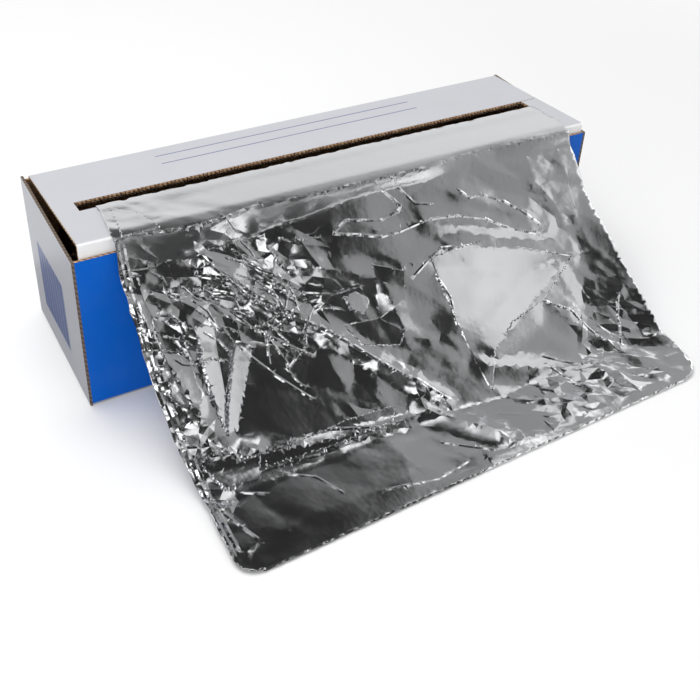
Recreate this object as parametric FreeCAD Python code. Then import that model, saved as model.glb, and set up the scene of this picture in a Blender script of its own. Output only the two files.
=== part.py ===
import FreeCAD, Part
import math
import os
import random

# Aluminium foil roll in its cutter carton, foil drawn out over the front edge on to the table.
# Origin at the middle of the carton's base, X along the roll, -Y to the front, Z up.
# All lengths are millimetres.

# Foil and core
foil_width = 300.0          # length of the roll, a 30 cm foil
roll_radius = 42.0          # outside of the wound foil
core_bore = 38.1            # inside diameter of the paperboard tube
core_wall = 1.5             # thickness of the paperboard tube
core_fit = 0.02             # gap between the tube and the first turn
sheet_thickness = 0.6       # the drawn foil, with its fine crumple
turn_step = 0.5             # how far a band of turns stands out at the roll's ends
turn_bands = 4              # bands of turns that show at the roll's ends

# Carton
board = 1.6                 # single wall corrugated board
crease_radius = 1.5         # outside radius of a folded edge
side_room = 3.9             # from the roll to the front and back walls
end_room = 11.8             # from the roll to the dust flaps
seat_gap = 0.3              # from the roll to the base it lies on
head_room = 9.1             # from the roll to the top of the walls
flap_gap = 0.3              # between the tuck flap and the front wall
dust_flap_reach = 43.0      # dust flaps, from the front or back wall
dust_flap_drop = 3.5        # their top edge under the top of the walls
dust_flap_rise = 3.0        # their bottom edge over the base
dust_flap_taper = 9.0       # slope of their free edge

# Lid, a little open and twisted, as the drawn foil holds it
hinge_drop = 2.0            # lid's fold under the top of the back wall's line
lid_lift_left = 8.5         # front edge over the top of the walls, left end
lid_lift_right = 5.8        # the same, right end
lid_inset_left = 4.5        # lid's end inside the carton's end, left
lid_inset_right = 2.0       # the same, right
tuck_depth = 27.0           # tuck flap, from the lid's front edge down
tuck_corner = 10.0          # cut corners of the tuck flap

# Slot in the lid and the cutter strip under its rear edge
slot_rear = 1.0             # rear edge behind the carton's middle
slot_opening = 11.0         # front to rear
slot_play = 0.4             # slot past the foil's right edge
slot_short = 1.5            # slot short of the foil's left edge
slit_length = 11.0          # cut line that goes on past the slot's right end
slit_width = 0.6
strip_width = 12.0          # steel strip, from the slot's rear edge back
strip_thickness = 0.4
strip_margin = 2.0          # strip's ends inside the foil's edges
glue_line = 0.1             # between the strip and the lid
tooth_pitch = 2.0
tooth_height = 2.0

# Path of the drawn foil, from the roll to its hem on the table
mouth_front_gap = 1.5       # sheet behind the slot's front edge
mouth_rise = 3.6            # top of the bulge over the lid
mouth_length = 11.0         # bulge, front to rear
lid_gap = 0.4               # sheet over the lid's front strip
overhang = 6.4              # sheet in front of the lid's front edge
overhang_depth = 8.4        # height of the bend over that edge
drop_left = 10.0            # straight drop under the bend, left end
drop_right = 1.0            # the same, right end
touch_down = 98.5           # front wall to where the sheet meets the table
slope_power = 1.38          # how hollow the slope is
table_gap = 2.2             # upper layer over the table, hem folded under it
table_run_left = 45.0       # sheet on the table, left end
table_run_right = 36.0      # the same, right end
hem_length = 12.0           # strip folded under along the front edge
hem_gap = 0.1               # folded strip over the table

# Foil's edges, inside or past the ends of the roll
left_in_slot = 11.5         # left edge gathered in the slot
left_on_slope = 7.0
left_on_table = 11.0
right_in_slot = 0.4
right_past_lid = 1.5        # right edge curled past the slot's end
right_in_bend = 2.5
right_past_table = 11.0     # right edge spread on the table
corner_cut_left = 11.0      # front corners folded in
corner_cut_right = 13.0

# Facets of the foil
columns = 30
rise_rows = 2
mouth_rows = 5
strip_rows = 3
bend_rows = 3
slope_rows = 14
table_rows = 5
hem_rows = 3
facet_shift = 0.28          # how far a facet's corner strays, as a share of the facet
crumple_seed = 11

# Ridges and creases of the drawn foil: name, start and end as distance across from the
# middle and along the sheet from the lid's front edge, height, half width
folds = (
    ("long diagonal ridge", (-97, 34), (-39, 88), 5.0, 13.0),
    ("long diagonal ridge, lower end", (-39, 88), (8, 138), 7.0, 13.0),
    ("ridge over the sail", (-96, 76), (-61, 112), 8.0, 15.0),
    ("pleat left of the sail", (-112, 88), (-115, 114), 5.0, 9.0),
    ("step at the table, left", (-136, 124), (-103, 134), 6.0, 10.0),
    ("step at the table, middle", (-103, 134), (-14, 139), 7.0, 10.0),
    ("cone at the table", (-7, 140), (20, 172), 7.0, 13.0),
    ("middle ridge", (-24, 34), (32, 38), 3.0, 11.0),
    ("middle ridge, right end", (32, 38), (108, 60), 4.5, 12.0),
    ("upper ridge, right", (61, 26), (108, 56), 2.5, 10.0),
    ("star, left arm", (-46, 45), (-6, 62), 3.0, 11.0),
    ("star, right arm", (-6, 62), (52, 56), 4.0, 11.0),
    ("star, lower arm", (-6, 62), (0, 94), 3.5, 11.0),
    ("pale patch, upper edge", (52, 56), (124, 80), 4.5, 13.0),
    ("pale patch, left edge", (31, 68), (33, 102), 3.0, 10.0),
    ("pale patch, right edge", (112, 86), (49, 121), 4.5, 13.0),
    ("right ridge", (94, 100), (122, 137), 5.0, 12.0),
    ("right edge lift", (152, 84), (150, 142), 9.0, 17.0),
    ("lower ridge, right", (40, 128), (104, 150), 4.0, 12.0),
    ("left edge gather", (-140, 40), (-128, 96), 4.0, 11.0),
)

# Crumpled areas: middle across and along, half width across and along, height
crumples = (
    ((-100, 50), (62, 46), 4.2),
    ((-132, 110), (18, 40), 2.6),
    ((120, 148), (60, 30), 4.0),
    ((60, 172), (90, 12), 2.2),
    ((-100, -12), (48, 20), 1.5),
    ((0, 90), (175, 105), 1.0),
)

# Sizes that follow from the ones above
core_radius = core_bore / 2 + core_wall
roll_axis_z = board + seat_gap + roll_radius
inside_length = foil_width + 2 * end_room
outside_length = inside_length + 4 * board
outside_depth = 2 * (roll_radius + side_room + board)
wall_top = board + seat_gap + 2 * roll_radius + head_room
front = -outside_depth / 2
back = outside_depth / 2
hinge_z = wall_top - hinge_drop
tuck_face = front + board + flap_gap
lid_left = -outside_length / 2 + lid_inset_left
lid_right = outside_length / 2 - lid_inset_right
slot_front = slot_rear - slot_opening
mouth_rear = slot_front + mouth_front_gap

os.makedirs("parts", exist_ok=True)


def vec(x, y, z):
    return FreeCAD.Vector(x, y, z)


def side_face(x, points):
    """A flat face across the carton at x, from (y, z) points."""
    corners = [vec(x, y, z) for y, z in points]
    return Part.Face(Part.makePolygon(corners + corners[:1]))


def lid_front_z(x):
    """Height of the lid's front edge: it is twisted, higher at the left."""
    share = (x - lid_left) / (lid_right - lid_left)
    return wall_top + lid_lift_left + (lid_lift_right - lid_lift_left) * share


def lid_top_z(x, y):
    """Height of the lid's upper face, straight between its two folds."""
    share = (back - crease_radius - y) / (back - tuck_face - 2 * crease_radius)
    return wall_top + (lid_front_z(x) - wall_top) * share


def lid_under_z(x, y):
    """Height of the lid's lower face."""
    return lid_top_z(x, y) - board


# Carton: one die cut sheet of board, folded and glued. Each panel is a node, and the panels meet
# face to face at the folds.

def base():
    """Base panel, with the outside of its two long folds."""
    length = outside_length - 2 * board
    panel = Part.makeBox(length, outside_depth, board, vec(-length / 2, front, 0))
    folds_below = [e for e in panel.Edges
                   if e.CenterOfMass.z < board / 4 and abs(e.CenterOfMass.y) > outside_depth / 2 - board / 4]
    return panel.makeFillet(crease_radius, folds_below)


def side_wall(wall, top):
    """Front or back wall, folded up from the base as far as top."""
    length = outside_length - 2 * board
    y = front if wall < 0 else back - board
    return Part.makeBox(length, board, top - board, vec(-length / 2, y, board))


def front_wall():
    return side_wall(-1, wall_top)


def back_wall():
    return side_wall(1, hinge_z)


def end_panel(side):
    """Outer end panel, folded up from the base; its top and side edges are raw."""
    x = side * (outside_length / 2 - board / 2)
    panel = Part.makeBox(board, outside_depth, wall_top, vec(x - board / 2, front, 0))
    fold = [e for e in panel.Edges
            if abs(e.CenterOfMass.z) < board / 4 and abs(e.CenterOfMass.x) > outside_length / 2 - board / 4]
    return panel.makeFillet(crease_radius, fold)


def dust_flap(side, wall):
    """Inner flap, folded in from the front or back wall and glued to the end panel."""
    x = side * (outside_length / 2 - board) - (board if side > 0 else 0)
    root = wall * (outside_depth / 2 - board)
    tip = root - wall * dust_flap_reach
    low = board + dust_flap_rise
    high = wall_top - dust_flap_drop
    outline = [(root, low), (tip, low + dust_flap_taper), (tip, high - dust_flap_taper), (root, high)]
    return side_face(x, outline).extrude(vec(board, 0, 0))


def lid_section(x):
    """Lid and tuck flap as one folded section at x, rounded at both folds."""
    top = lid_front_z(x)
    r = crease_radius
    s = r * math.sqrt(0.5)
    flap_low = top - tuck_depth
    flap_rear = tuck_face + board
    wall_front = back - board
    under_front = lid_under_z(x, flap_rear)
    under_back = lid_under_z(x, wall_front)
    hinge = [vec(x, back, wall_top - r), vec(x, back - r + s, wall_top - r + s), vec(x, back - r, wall_top)]
    nose = [vec(x, tuck_face + r, top), vec(x, tuck_face + r - s, top - r + s), vec(x, tuck_face, top - r)]
    flap = [vec(x, tuck_face, flap_low), vec(x, flap_rear, flap_low), vec(x, flap_rear, under_front)]
    rear = [vec(x, wall_front, under_back), vec(x, wall_front, hinge_z), vec(x, back, hinge_z)]
    rest = [nose[2]] + flap + rear + [hinge[0]]
    edges = [Part.Arc(*hinge), Part.LineSegment(hinge[2], nose[0]), Part.Arc(*nose)]
    edges += [Part.LineSegment(a, b) for a, b in zip(rest, rest[1:])]
    return Part.Wire([edge.toShape() for edge in edges])


def slot_cutter():
    """Slot and the cut line past its right end, through the lid."""
    left = -foil_width / 2 + slot_short
    right = foil_width / 2 + slot_play
    low = wall_top - 2 * board
    depth = lid_lift_left + 4 * board
    slot = Part.makeBox(right - left, slot_opening, depth, vec(left, slot_front, low))
    slit = Part.makeBox(slit_length, slit_width, depth, vec(right, slot_rear - slit_width, low))
    return slot.fuse(slit)


def tuck_corner_cutter(x, direction):
    """Wedge that takes a lower corner off the tuck flap at the lid's end x."""
    low = lid_front_z(x) - tuck_depth
    inner, outer = x + direction * tuck_corner, x - direction
    outline = [(outer, low - board), (inner, low - board), (inner, low), (x, low + tuck_corner),
               (outer, low + tuck_corner)]
    points = [vec(px, tuck_face - flap_gap / 2, pz) for px, pz in outline]
    face = Part.Face(Part.makePolygon(points + points[:1]))
    return face.extrude(vec(0, board + flap_gap, 0))


def lid():
    """Lid with its slot and its tuck flap, which stands behind the front wall."""
    plate = Part.makeLoft([lid_section(lid_left), lid_section(lid_right)], True, True)
    cutters = [slot_cutter(), tuck_corner_cutter(lid_left, 1), tuck_corner_cutter(lid_right, -1)]
    return plate.cut(cutters)


def end(side):
    """End panel with the two dust flaps that are glued to its inside."""
    flaps = [dust_flap(side, wall) for wall in (-1, 1)]
    return end_panel(side).fuse(flaps).removeSplitter()


def left_end():
    return end(-1)


def right_end():
    return end(1)


# Cutter strip

def strip_slab():
    """Thin steel strip that follows the underside of the twisted lid."""
    low_y, high_y = slot_rear - tooth_height, slot_rear + strip_width
    reach = foil_width / 2 - strip_margin

    def section(x):
        corners = [(low_y, 0), (high_y, 0), (high_y, -strip_thickness), (low_y, -strip_thickness)]
        points = [vec(x, y, lid_under_z(x, y) - glue_line + dz) for y, dz in corners]
        return Part.makePolygon(points + points[:1])

    return Part.makeLoft([section(-reach), section(reach)], True, True)


def tooth_gaps():
    """Saw of triangles that leaves the teeth standing along the strip's front edge."""
    reach = foil_width / 2 - strip_margin
    count = round(2 * reach / tooth_pitch)
    pitch = 2 * reach / count
    tip_y = slot_rear - tooth_height
    low = wall_top - 3 * board
    points = [vec(-reach - pitch, tip_y - tooth_height, low), vec(-reach - pitch, slot_rear, low),
              vec(-reach, slot_rear, low)]
    for k in range(count):
        points.append(vec(-reach + (k + 0.5) * pitch, tip_y, low))
        points.append(vec(-reach + (k + 1) * pitch, slot_rear, low))
    points += [vec(reach + pitch, slot_rear, low), vec(reach + pitch, tip_y - tooth_height, low)]
    face = Part.Face(Part.makePolygon(points + points[:1]))
    return face.extrude(vec(0, 0, lid_lift_left + 4 * board))


def cutter_strip():
    """Serrated steel strip, glued under the slot's rear edge."""
    return strip_slab().cut(tooth_gaps())


# Roll and core

def core_tube():
    """Paperboard tube that the foil is wound on."""
    outer = Part.makeCylinder(core_radius, foil_width)
    tube = outer.cut(Part.makeCylinder(core_bore / 2, foil_width))
    tube.rotate(vec(0, 0, 0), vec(0, 1, 0), 90)
    tube.translate(vec(-foil_width / 2, 0, roll_axis_z))
    return tube


def wound_roll():
    """Wound foil; bands of its turns stand a little in and out at both ends."""
    inner = core_radius + core_fit
    band = (roll_radius - inner) / turn_bands
    half = foil_width / 2
    right = []
    for k in range(turn_bands):
        recess = turn_step if k % 2 else 0.0
        right += [(inner + k * band, half - recess), (inner + (k + 1) * band, half - recess)]
    outline = right + [(r, -x) for r, x in reversed(right)]
    points = [vec(x, 0, roll_axis_z + r) for r, x in outline]
    section = Part.Face(Part.makePolygon(points + points[:1]))
    return section.revolve(vec(0, 0, roll_axis_z), vec(1, 0, 0), 360)


# Drawn foil

def blend(low, high, share):
    return low + (high - low) * max(0.0, min(1.0, share))


def roll_tangent(target):
    """Point where a straight sheet to target leaves the front of the roll, seen from the end."""
    y, z = target[0], target[1] - roll_axis_z
    distance = math.hypot(y, z)
    angle = math.atan2(z, y) + math.acos(roll_radius / distance)
    reach = roll_radius + sheet_thickness / 2
    return reach * math.cos(angle), roll_axis_z + reach * math.sin(angle)


def sheet_line(x):
    """Underside of the drawn foil at x, as (y, z) from the roll to the end of the hem."""
    mouth = (mouth_rear, lid_under_z(x, mouth_rear))
    start = roll_tangent(mouth)
    line = [(blend(start[0], mouth[0], k / rise_rows), blend(start[1], mouth[1], k / rise_rows))
            for k in range(rise_rows + 1)]
    line += mouth_line(x)
    line += strip_line(x)
    line += bend_line(x)
    line += slope_line(x, line[-1])
    line += table_line(x)
    return line


def mouth_line(x):
    """Bulge of the foil over the slot's front edge."""
    middle = mouth_rear - mouth_length / 2
    line = []
    for k in range(1, mouth_rows + 1):
        angle = math.pi * k / mouth_rows
        y = middle + mouth_length / 2 * math.cos(angle)
        line.append((y, lid_top_z(x, y) + lid_gap + (mouth_rise - lid_gap) * math.sin(angle)))
    return line


def strip_line(x):
    """Foil on the lid's front strip."""
    start, end = mouth_rear - mouth_length, bend_start()
    line = []
    for k in range(1, strip_rows + 1):
        y = blend(start, end, k / strip_rows)
        line.append((y, lid_top_z(x, y) + lid_gap))
    return line


def bend_start():
    return tuck_face + crease_radius


def bend_line(x):
    """Soft bend over the lid's front edge, with a drop under it that is longer at the left."""
    start = bend_start()
    top = lid_top_z(x, start) + lid_gap
    reach = start - (tuck_face - overhang)
    line = []
    for k in range(1, bend_rows + 1):
        angle = math.pi / 2 * k / bend_rows
        line.append((start - reach * math.sin(angle), top - overhang_depth * (1 - math.cos(angle))))
    share = (x + foil_width / 3) / (foil_width / 3)
    line.append((line[-1][0] - sheet_thickness, line[-1][1] - blend(drop_left, drop_right, share)))
    return line


def slope_line(x, start):
    """Hollow slope from the bend down to the table."""
    end_y = front - touch_down
    line = []
    for k in range(1, slope_rows + 1):
        left_over = 1 - k / slope_rows
        y = end_y + (start[0] - end_y) * left_over
        line.append((y, table_gap + (start[1] - table_gap) * left_over ** slope_power))
    return line


def table_line(x):
    """Foil on the table, and its hem folded back under it."""
    start = front - touch_down
    run = blend(table_run_left, table_run_right, x / foil_width + 0.5)
    line = [(start - run * k / table_rows, table_gap) for k in range(1, table_rows + 1)]
    low = hem_gap + sheet_thickness
    turn = (table_gap - low) / 2
    end = start - run
    line.append((end - turn, table_gap - turn))
    line.append((end, low))
    line.append((end + hem_length, low))
    return line


def edge_stations():
    """Foil's left and right edge at chosen distances along the sheet from the lid's front edge."""
    lengths = sheet_lengths(0.0)
    mouth = lengths[rise_rows]
    hem = lengths[-hem_rows]
    end = foil_width / 2
    left_corner, right_corner = end - left_on_table, end + right_past_table
    return (
        (lengths[0], end, end),
        (mouth, end - left_in_slot, end - right_in_slot),
        (mouth + mouth_length, end - left_in_slot + slot_short, end + right_past_lid),
        (0.0, end - left_on_slope, end + right_past_lid),
        (overhang_depth, end - left_on_slope, end - right_in_bend),
        (hem - table_run_left, end - left_on_slope, right_corner),
        (hem - corner_cut_right, left_corner, right_corner),
        (hem, left_corner - corner_cut_left, right_corner - corner_cut_right),
        (lengths[-1], left_corner - corner_cut_left, right_corner - corner_cut_right),
    )


def sheet_lengths(x):
    """Distance of each point of sheet_line(x) along the sheet, from the lid's front edge."""
    line = sheet_line(x)
    lengths = [0.0]
    for (y0, z0), (y1, z1) in zip(line, line[1:]):
        lengths.append(lengths[-1] + math.hypot(y1 - y0, z1 - z0))
    zero = lengths[rise_rows + mouth_rows + strip_rows]
    return [length - zero for length in lengths]


def edges_at(along, stations):
    """Left and right edge of the foil at a distance along the sheet."""
    for (s0, left0, right0), (s1, left1, right1) in zip(stations, stations[1:]):
        if along <= s1:
            share = (along - s0) / (s1 - s0)
            return -blend(left0, left1, share), blend(right0, right1, share)
    return -stations[-1][1], stations[-1][2]


def fold_height(x, along):
    """Height of the ridges over the smooth sheet."""
    height = 0.0
    for name, start, end, rise, half_width in folds:
        dx, ds = end[0] - start[0], end[1] - start[1]
        share = ((x - start[0]) * dx + (along - start[1]) * ds) / (dx * dx + ds * ds)
        share = max(0.0, min(1.0, share))
        distance = math.hypot(x - start[0] - share * dx, along - start[1] - share * ds)
        height = max(height, rise * (1 - distance / half_width))
    return height


def crumple_height(x, along):
    """Largest height of the crumple, from the areas it lies in."""
    height = 0.0
    for middle, size, rise in crumples:
        distance = math.hypot((x - middle[0]) / size[0], (along - middle[1]) / size[1])
        height = max(height, rise * min(1.0, 2.5 * (1 - distance)))
    return height


def outward(line, k):
    """Unit vector (y, z) square to the sheet, away from the carton and the table."""
    y0, z0 = line[max(k - 1, 0)]
    y1, z1 = line[min(k + 1, len(line) - 1)]
    length = math.hypot(y1 - y0, z1 - z0)
    return (z1 - z0) / length, -(y1 - y0) / length


def sheet_points():
    """Inner and outer corner of each facet, by row and column, with folds and crumple."""
    chance = random.Random(crumple_seed)
    lengths = sheet_lengths(0.0)
    stations = edge_stations()
    rough_rows = range(rise_rows + mouth_rows, len(lengths) - hem_rows - 1)
    inner, outer = [], []
    for k, along in enumerate(lengths):
        left, right = edges_at(along, stations)
        inner_row, outer_row = [], []
        for c in range(columns + 1):
            stray = facet_shift * chance.uniform(-1, 1)
            bump = chance.random()
            rough = k in rough_rows
            share = (c + stray if rough and 0 < c < columns else c) / columns
            x = blend(left, right, share)
            line = sheet_line(x)
            ny, nz = outward(line, k)
            rise = fold_height(x, along) + bump * crumple_height(x, along) if rough else 0.0
            y, z = line[k][0] + rise * ny, line[k][1] + rise * nz
            inner_row.append(vec(x, y, z))
            outer_row.append(vec(x, y + sheet_thickness * ny, z + sheet_thickness * nz))
        inner.append(inner_row)
        outer.append(outer_row)
    return inner, outer


def sheet_facets(inner, outer):
    """Closed set of triangles around the sheet."""
    chance = random.Random(crumple_seed)
    rows = len(inner)
    triangles = []

    def quad(a, b, c, d, swap=False):
        if swap:
            triangles.extend([(a, b, d), (b, c, d)])
        else:
            triangles.extend([(a, b, c), (a, c, d)])

    for k in range(rows - 1):
        for c in range(columns):
            swap = chance.random() < 0.5
            quad(outer[k][c], outer[k + 1][c], outer[k + 1][c + 1], outer[k][c + 1], swap)
            quad(inner[k][c + 1], inner[k + 1][c + 1], inner[k + 1][c], inner[k][c], not swap)
        for c, flip in ((0, False), (columns, True)):
            ring = [inner[k][c], inner[k + 1][c], outer[k + 1][c], outer[k][c]]
            quad(*(reversed(ring) if flip else ring))
    for c in range(columns):
        quad(inner[0][c + 1], inner[0][c], outer[0][c], outer[0][c + 1])
        quad(inner[-1][c], inner[-1][c + 1], outer[-1][c + 1], outer[-1][c])
    return triangles


def drawn_sheet():
    """The foil drawn from the roll, as one solid with flat facets between its creases."""
    inner, outer = sheet_points()
    triangles = sheet_facets(inner, outer)
    faces = [Part.Face(Part.makePolygon([a, b, c, a])) for a, b, c in triangles]
    shell = Part.makeShell(faces)
    shell.sewShape()
    return Part.makeSolid(shell)


def foil():
    """Wound foil and the sheet drawn from it, which are one piece of foil."""
    return wound_roll().fuse(drawn_sheet())


pieces = {
    "carton_base": base,
    "carton_front": front_wall,
    "carton_back": back_wall,
    "carton_left_end": left_end,
    "carton_right_end": right_end,
    "carton_lid": lid,
    "cutter_strip": cutter_strip,
    "foil": foil,
    "core_tube": core_tube,
}
for node, build in pieces.items():
    shape = build()
    shape.exportStep("parts/" + node + ".step")
    print(node, shape.ShapeType, "solids", len(shape.Solids), "faces", len(shape.Faces),
          "valid", shape.isValid(), "volume", round(shape.Volume), shape.BoundBox)
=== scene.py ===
"""Looks of an aluminium foil roll in its cutter carton, with a crumpled sheet drawn out over the front."""

import logging
import math
from dataclasses import dataclass, field
from enum import Enum
from typing import Callable, Sequence

import bpy
import numpy as np
from mathutils import Matrix, Vector
from mathutils.bvhtree import BVHTree
from mathutils.geometry import delaunay_2d_cdt
from mathutils.kdtree import KDTree


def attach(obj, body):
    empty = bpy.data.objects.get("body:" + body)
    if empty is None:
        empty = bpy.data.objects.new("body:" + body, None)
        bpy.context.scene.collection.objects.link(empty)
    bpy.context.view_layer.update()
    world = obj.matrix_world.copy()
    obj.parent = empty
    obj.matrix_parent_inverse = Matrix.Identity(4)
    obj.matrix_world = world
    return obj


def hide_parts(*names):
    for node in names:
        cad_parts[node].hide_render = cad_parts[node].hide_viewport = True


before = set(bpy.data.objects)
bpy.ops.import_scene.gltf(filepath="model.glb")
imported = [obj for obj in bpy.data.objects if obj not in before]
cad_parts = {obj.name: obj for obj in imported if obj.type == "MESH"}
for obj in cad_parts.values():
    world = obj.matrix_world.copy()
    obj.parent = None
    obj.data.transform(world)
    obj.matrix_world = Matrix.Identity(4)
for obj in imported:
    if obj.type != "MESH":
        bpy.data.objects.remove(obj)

LOG = logging.getLogger("foil_roll")
MM = 0.001
ROOT = "root"
Point2 = tuple[float, float]
Socket = bpy.types.NodeSocket


class Slot(Enum):
    """Names of material slots."""

    BOARD = "printed_board"
    STEEL = "blade_steel"
    FOIL = "foil"
    TUBE = "core_board"


class Axis(Enum):
    """Output of Separate XYZ that a coordinate is read from."""

    X = "X"
    Y = "Y"
    Z = "Z"


class Graph:
    """Adds and joins the nodes of one tree in few words."""

    def __init__(self, tree: bpy.types.NodeTree) -> None:
        """Keep the tree that the nodes go into."""
        self.tree = tree

    def add(self, kind: str, inputs: dict | None = None, **settings: object) -> bpy.types.Node:
        """Add a node.

        Args:
            kind: Blender's name of the node's type.
            inputs: values or sockets for its inputs, by the input's name or number.
            settings: the node's own properties.

        Returns:
            The new node.
        """
        node = self.tree.nodes.new(kind)
        for name, value in settings.items():
            setattr(node, name, value)
        for name, value in (inputs or {}).items():
            self.feed(node.inputs[name], value)
        return node

    def feed(self, socket: Socket, value: object) -> None:
        """Join a socket to an input, or set the input's own value."""
        if isinstance(value, bpy.types.NodeSocket):
            self.tree.links.new(value, socket)
        else:
            socket.default_value = value

    def math(self, operation: str, a: object, b: object = 0.0, c: object = 0.0, clamp: bool = False) -> Socket:
        """Result of one Math node."""
        node = self.add("ShaderNodeMath", {0: a, 1: b, 2: c}, operation=operation, use_clamp=clamp)
        return node.outputs[0]

    def mix(self, share: object, a: object, b: object) -> Socket:
        """Colour between a and b."""
        node = self.add("ShaderNodeMix", data_type="RGBA")
        self.feed(node.inputs[0], share)
        self.feed(node.inputs[6], a)
        self.feed(node.inputs[7], b)
        return node.outputs[2]

    def ramp(self, value: object, low: float, high: float, soft: bool = True) -> Socket:
        """Value taken from low..high to 0..1, held at both ends."""
        node = self.add("ShaderNodeMapRange", {0: value, 1: low, 2: high, 3: 0.0, 4: 1.0},
                        interpolation_type="SMOOTHSTEP" if soft else "LINEAR")
        return node.outputs[0]

    def within(self, value: object, low: float, high: float, edge: float) -> Socket:
        """1 where value lies from low to high, 0 outside, with an edge of that width."""
        above = self.ramp(value, low - edge, low + edge, False)
        below = self.ramp(value, high + edge, high - edge, False)
        return self.math("MULTIPLY", above, below)

    def place(self) -> dict[Axis, Socket]:
        """Object coordinates, one socket for each axis."""
        coordinates = self.add("ShaderNodeTexCoord").outputs["Object"]
        parts = self.add("ShaderNodeSeparateXYZ", {0: coordinates})
        return {axis: parts.outputs[axis.value] for axis in Axis}

    def noise(self, vector: object, scale: float, detail: float = 2.0, rough: float = 0.5) -> Socket:
        """Noise from 0 to 1."""
        node = self.add("ShaderNodeTexNoise", {"Vector": vector, "Scale": scale, "Detail": detail,
                                               "Roughness": rough})
        return node.outputs[0]


def new_material(name: str) -> tuple[bpy.types.Material, Graph, bpy.types.Node]:
    """Start a material.

    Args:
        name: the finish's name.

    Returns:
        The material, its graph and its principled shader, joined to the output.
    """
    material = bpy.data.materials.new(name)
    material.use_nodes = True
    material.node_tree.nodes.clear()
    graph = Graph(material.node_tree)
    shader = graph.add("ShaderNodeBsdfPrincipled")
    output = graph.add("ShaderNodeOutputMaterial")
    graph.feed(output.inputs["Surface"], shader.outputs[0])
    return material, graph, shader


@dataclass(frozen=True)
class FoilFinish:
    """Bright rolled aluminium: mirror like, with fine rolling lines along the sheet."""

    colour: tuple[float, float, float, float] = (0.90, 0.91, 0.925, 1.0)
    roughness_low: float = 0.11
    roughness_high: float = 0.20
    satin: float = 0.30
    line_depth: float = 0.06
    dent_depth: float = 0.10

    def build(self) -> bpy.types.Material:
        """Make the material; it reads the sheet's own UV map, in metres."""
        material, graph, shader = new_material("foil_bright")
        flat = graph.add("ShaderNodeUVMap", uv_map="sheet").outputs[0]
        lines = graph.add("ShaderNodeMapping", {0: flat, "Scale": (2600.0, 45.0, 1.0)}).outputs[0]
        streaks = graph.noise(lines, 1.0, 3.0)
        cloud = graph.noise(flat, 42.0, 4.0, 0.6)
        dents = graph.add("ShaderNodeTexVoronoi", {"Vector": flat, "Scale": 330.0}, feature="F1").outputs[0]
        shine = graph.add("ShaderNodeMapRange", {0: cloud, 1: 0.3, 2: 0.75, 3: self.roughness_low,
                                                 4: self.roughness_high}).outputs[0]
        along = graph.add("ShaderNodeSeparateXYZ", {0: flat}).outputs["Y"]
        strip = graph.ramp(along, 0.016, 0.002)
        shine = graph.math("ADD", graph.math("MULTIPLY", shine, graph.math("SUBTRACT", 1.0, strip)),
                           graph.math("MULTIPLY", strip, self.satin))
        bump_lines = graph.add("ShaderNodeBump", {"Strength": self.line_depth, "Distance": 0.0002,
                                                  "Height": streaks})
        bump = graph.add("ShaderNodeBump", {"Strength": self.dent_depth, "Distance": 0.00025, "Height": dents,
                                            "Normal": bump_lines.outputs[0]})
        shader.inputs["Metallic"].default_value = 1.0
        shader.inputs["Base Color"].default_value = self.colour
        graph.feed(shader.inputs["Roughness"], shine)
        graph.feed(shader.inputs["Normal"], bump.outputs[0])
        return material


class Panel(Enum):
    """Panels of the carton, by the name of the CAD node."""

    BASE = "carton_base"
    FRONT = "carton_front"
    BACK = "carton_back"
    LEFT_END = "carton_left_end"
    RIGHT_END = "carton_right_end"
    LID = "carton_lid"


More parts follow.
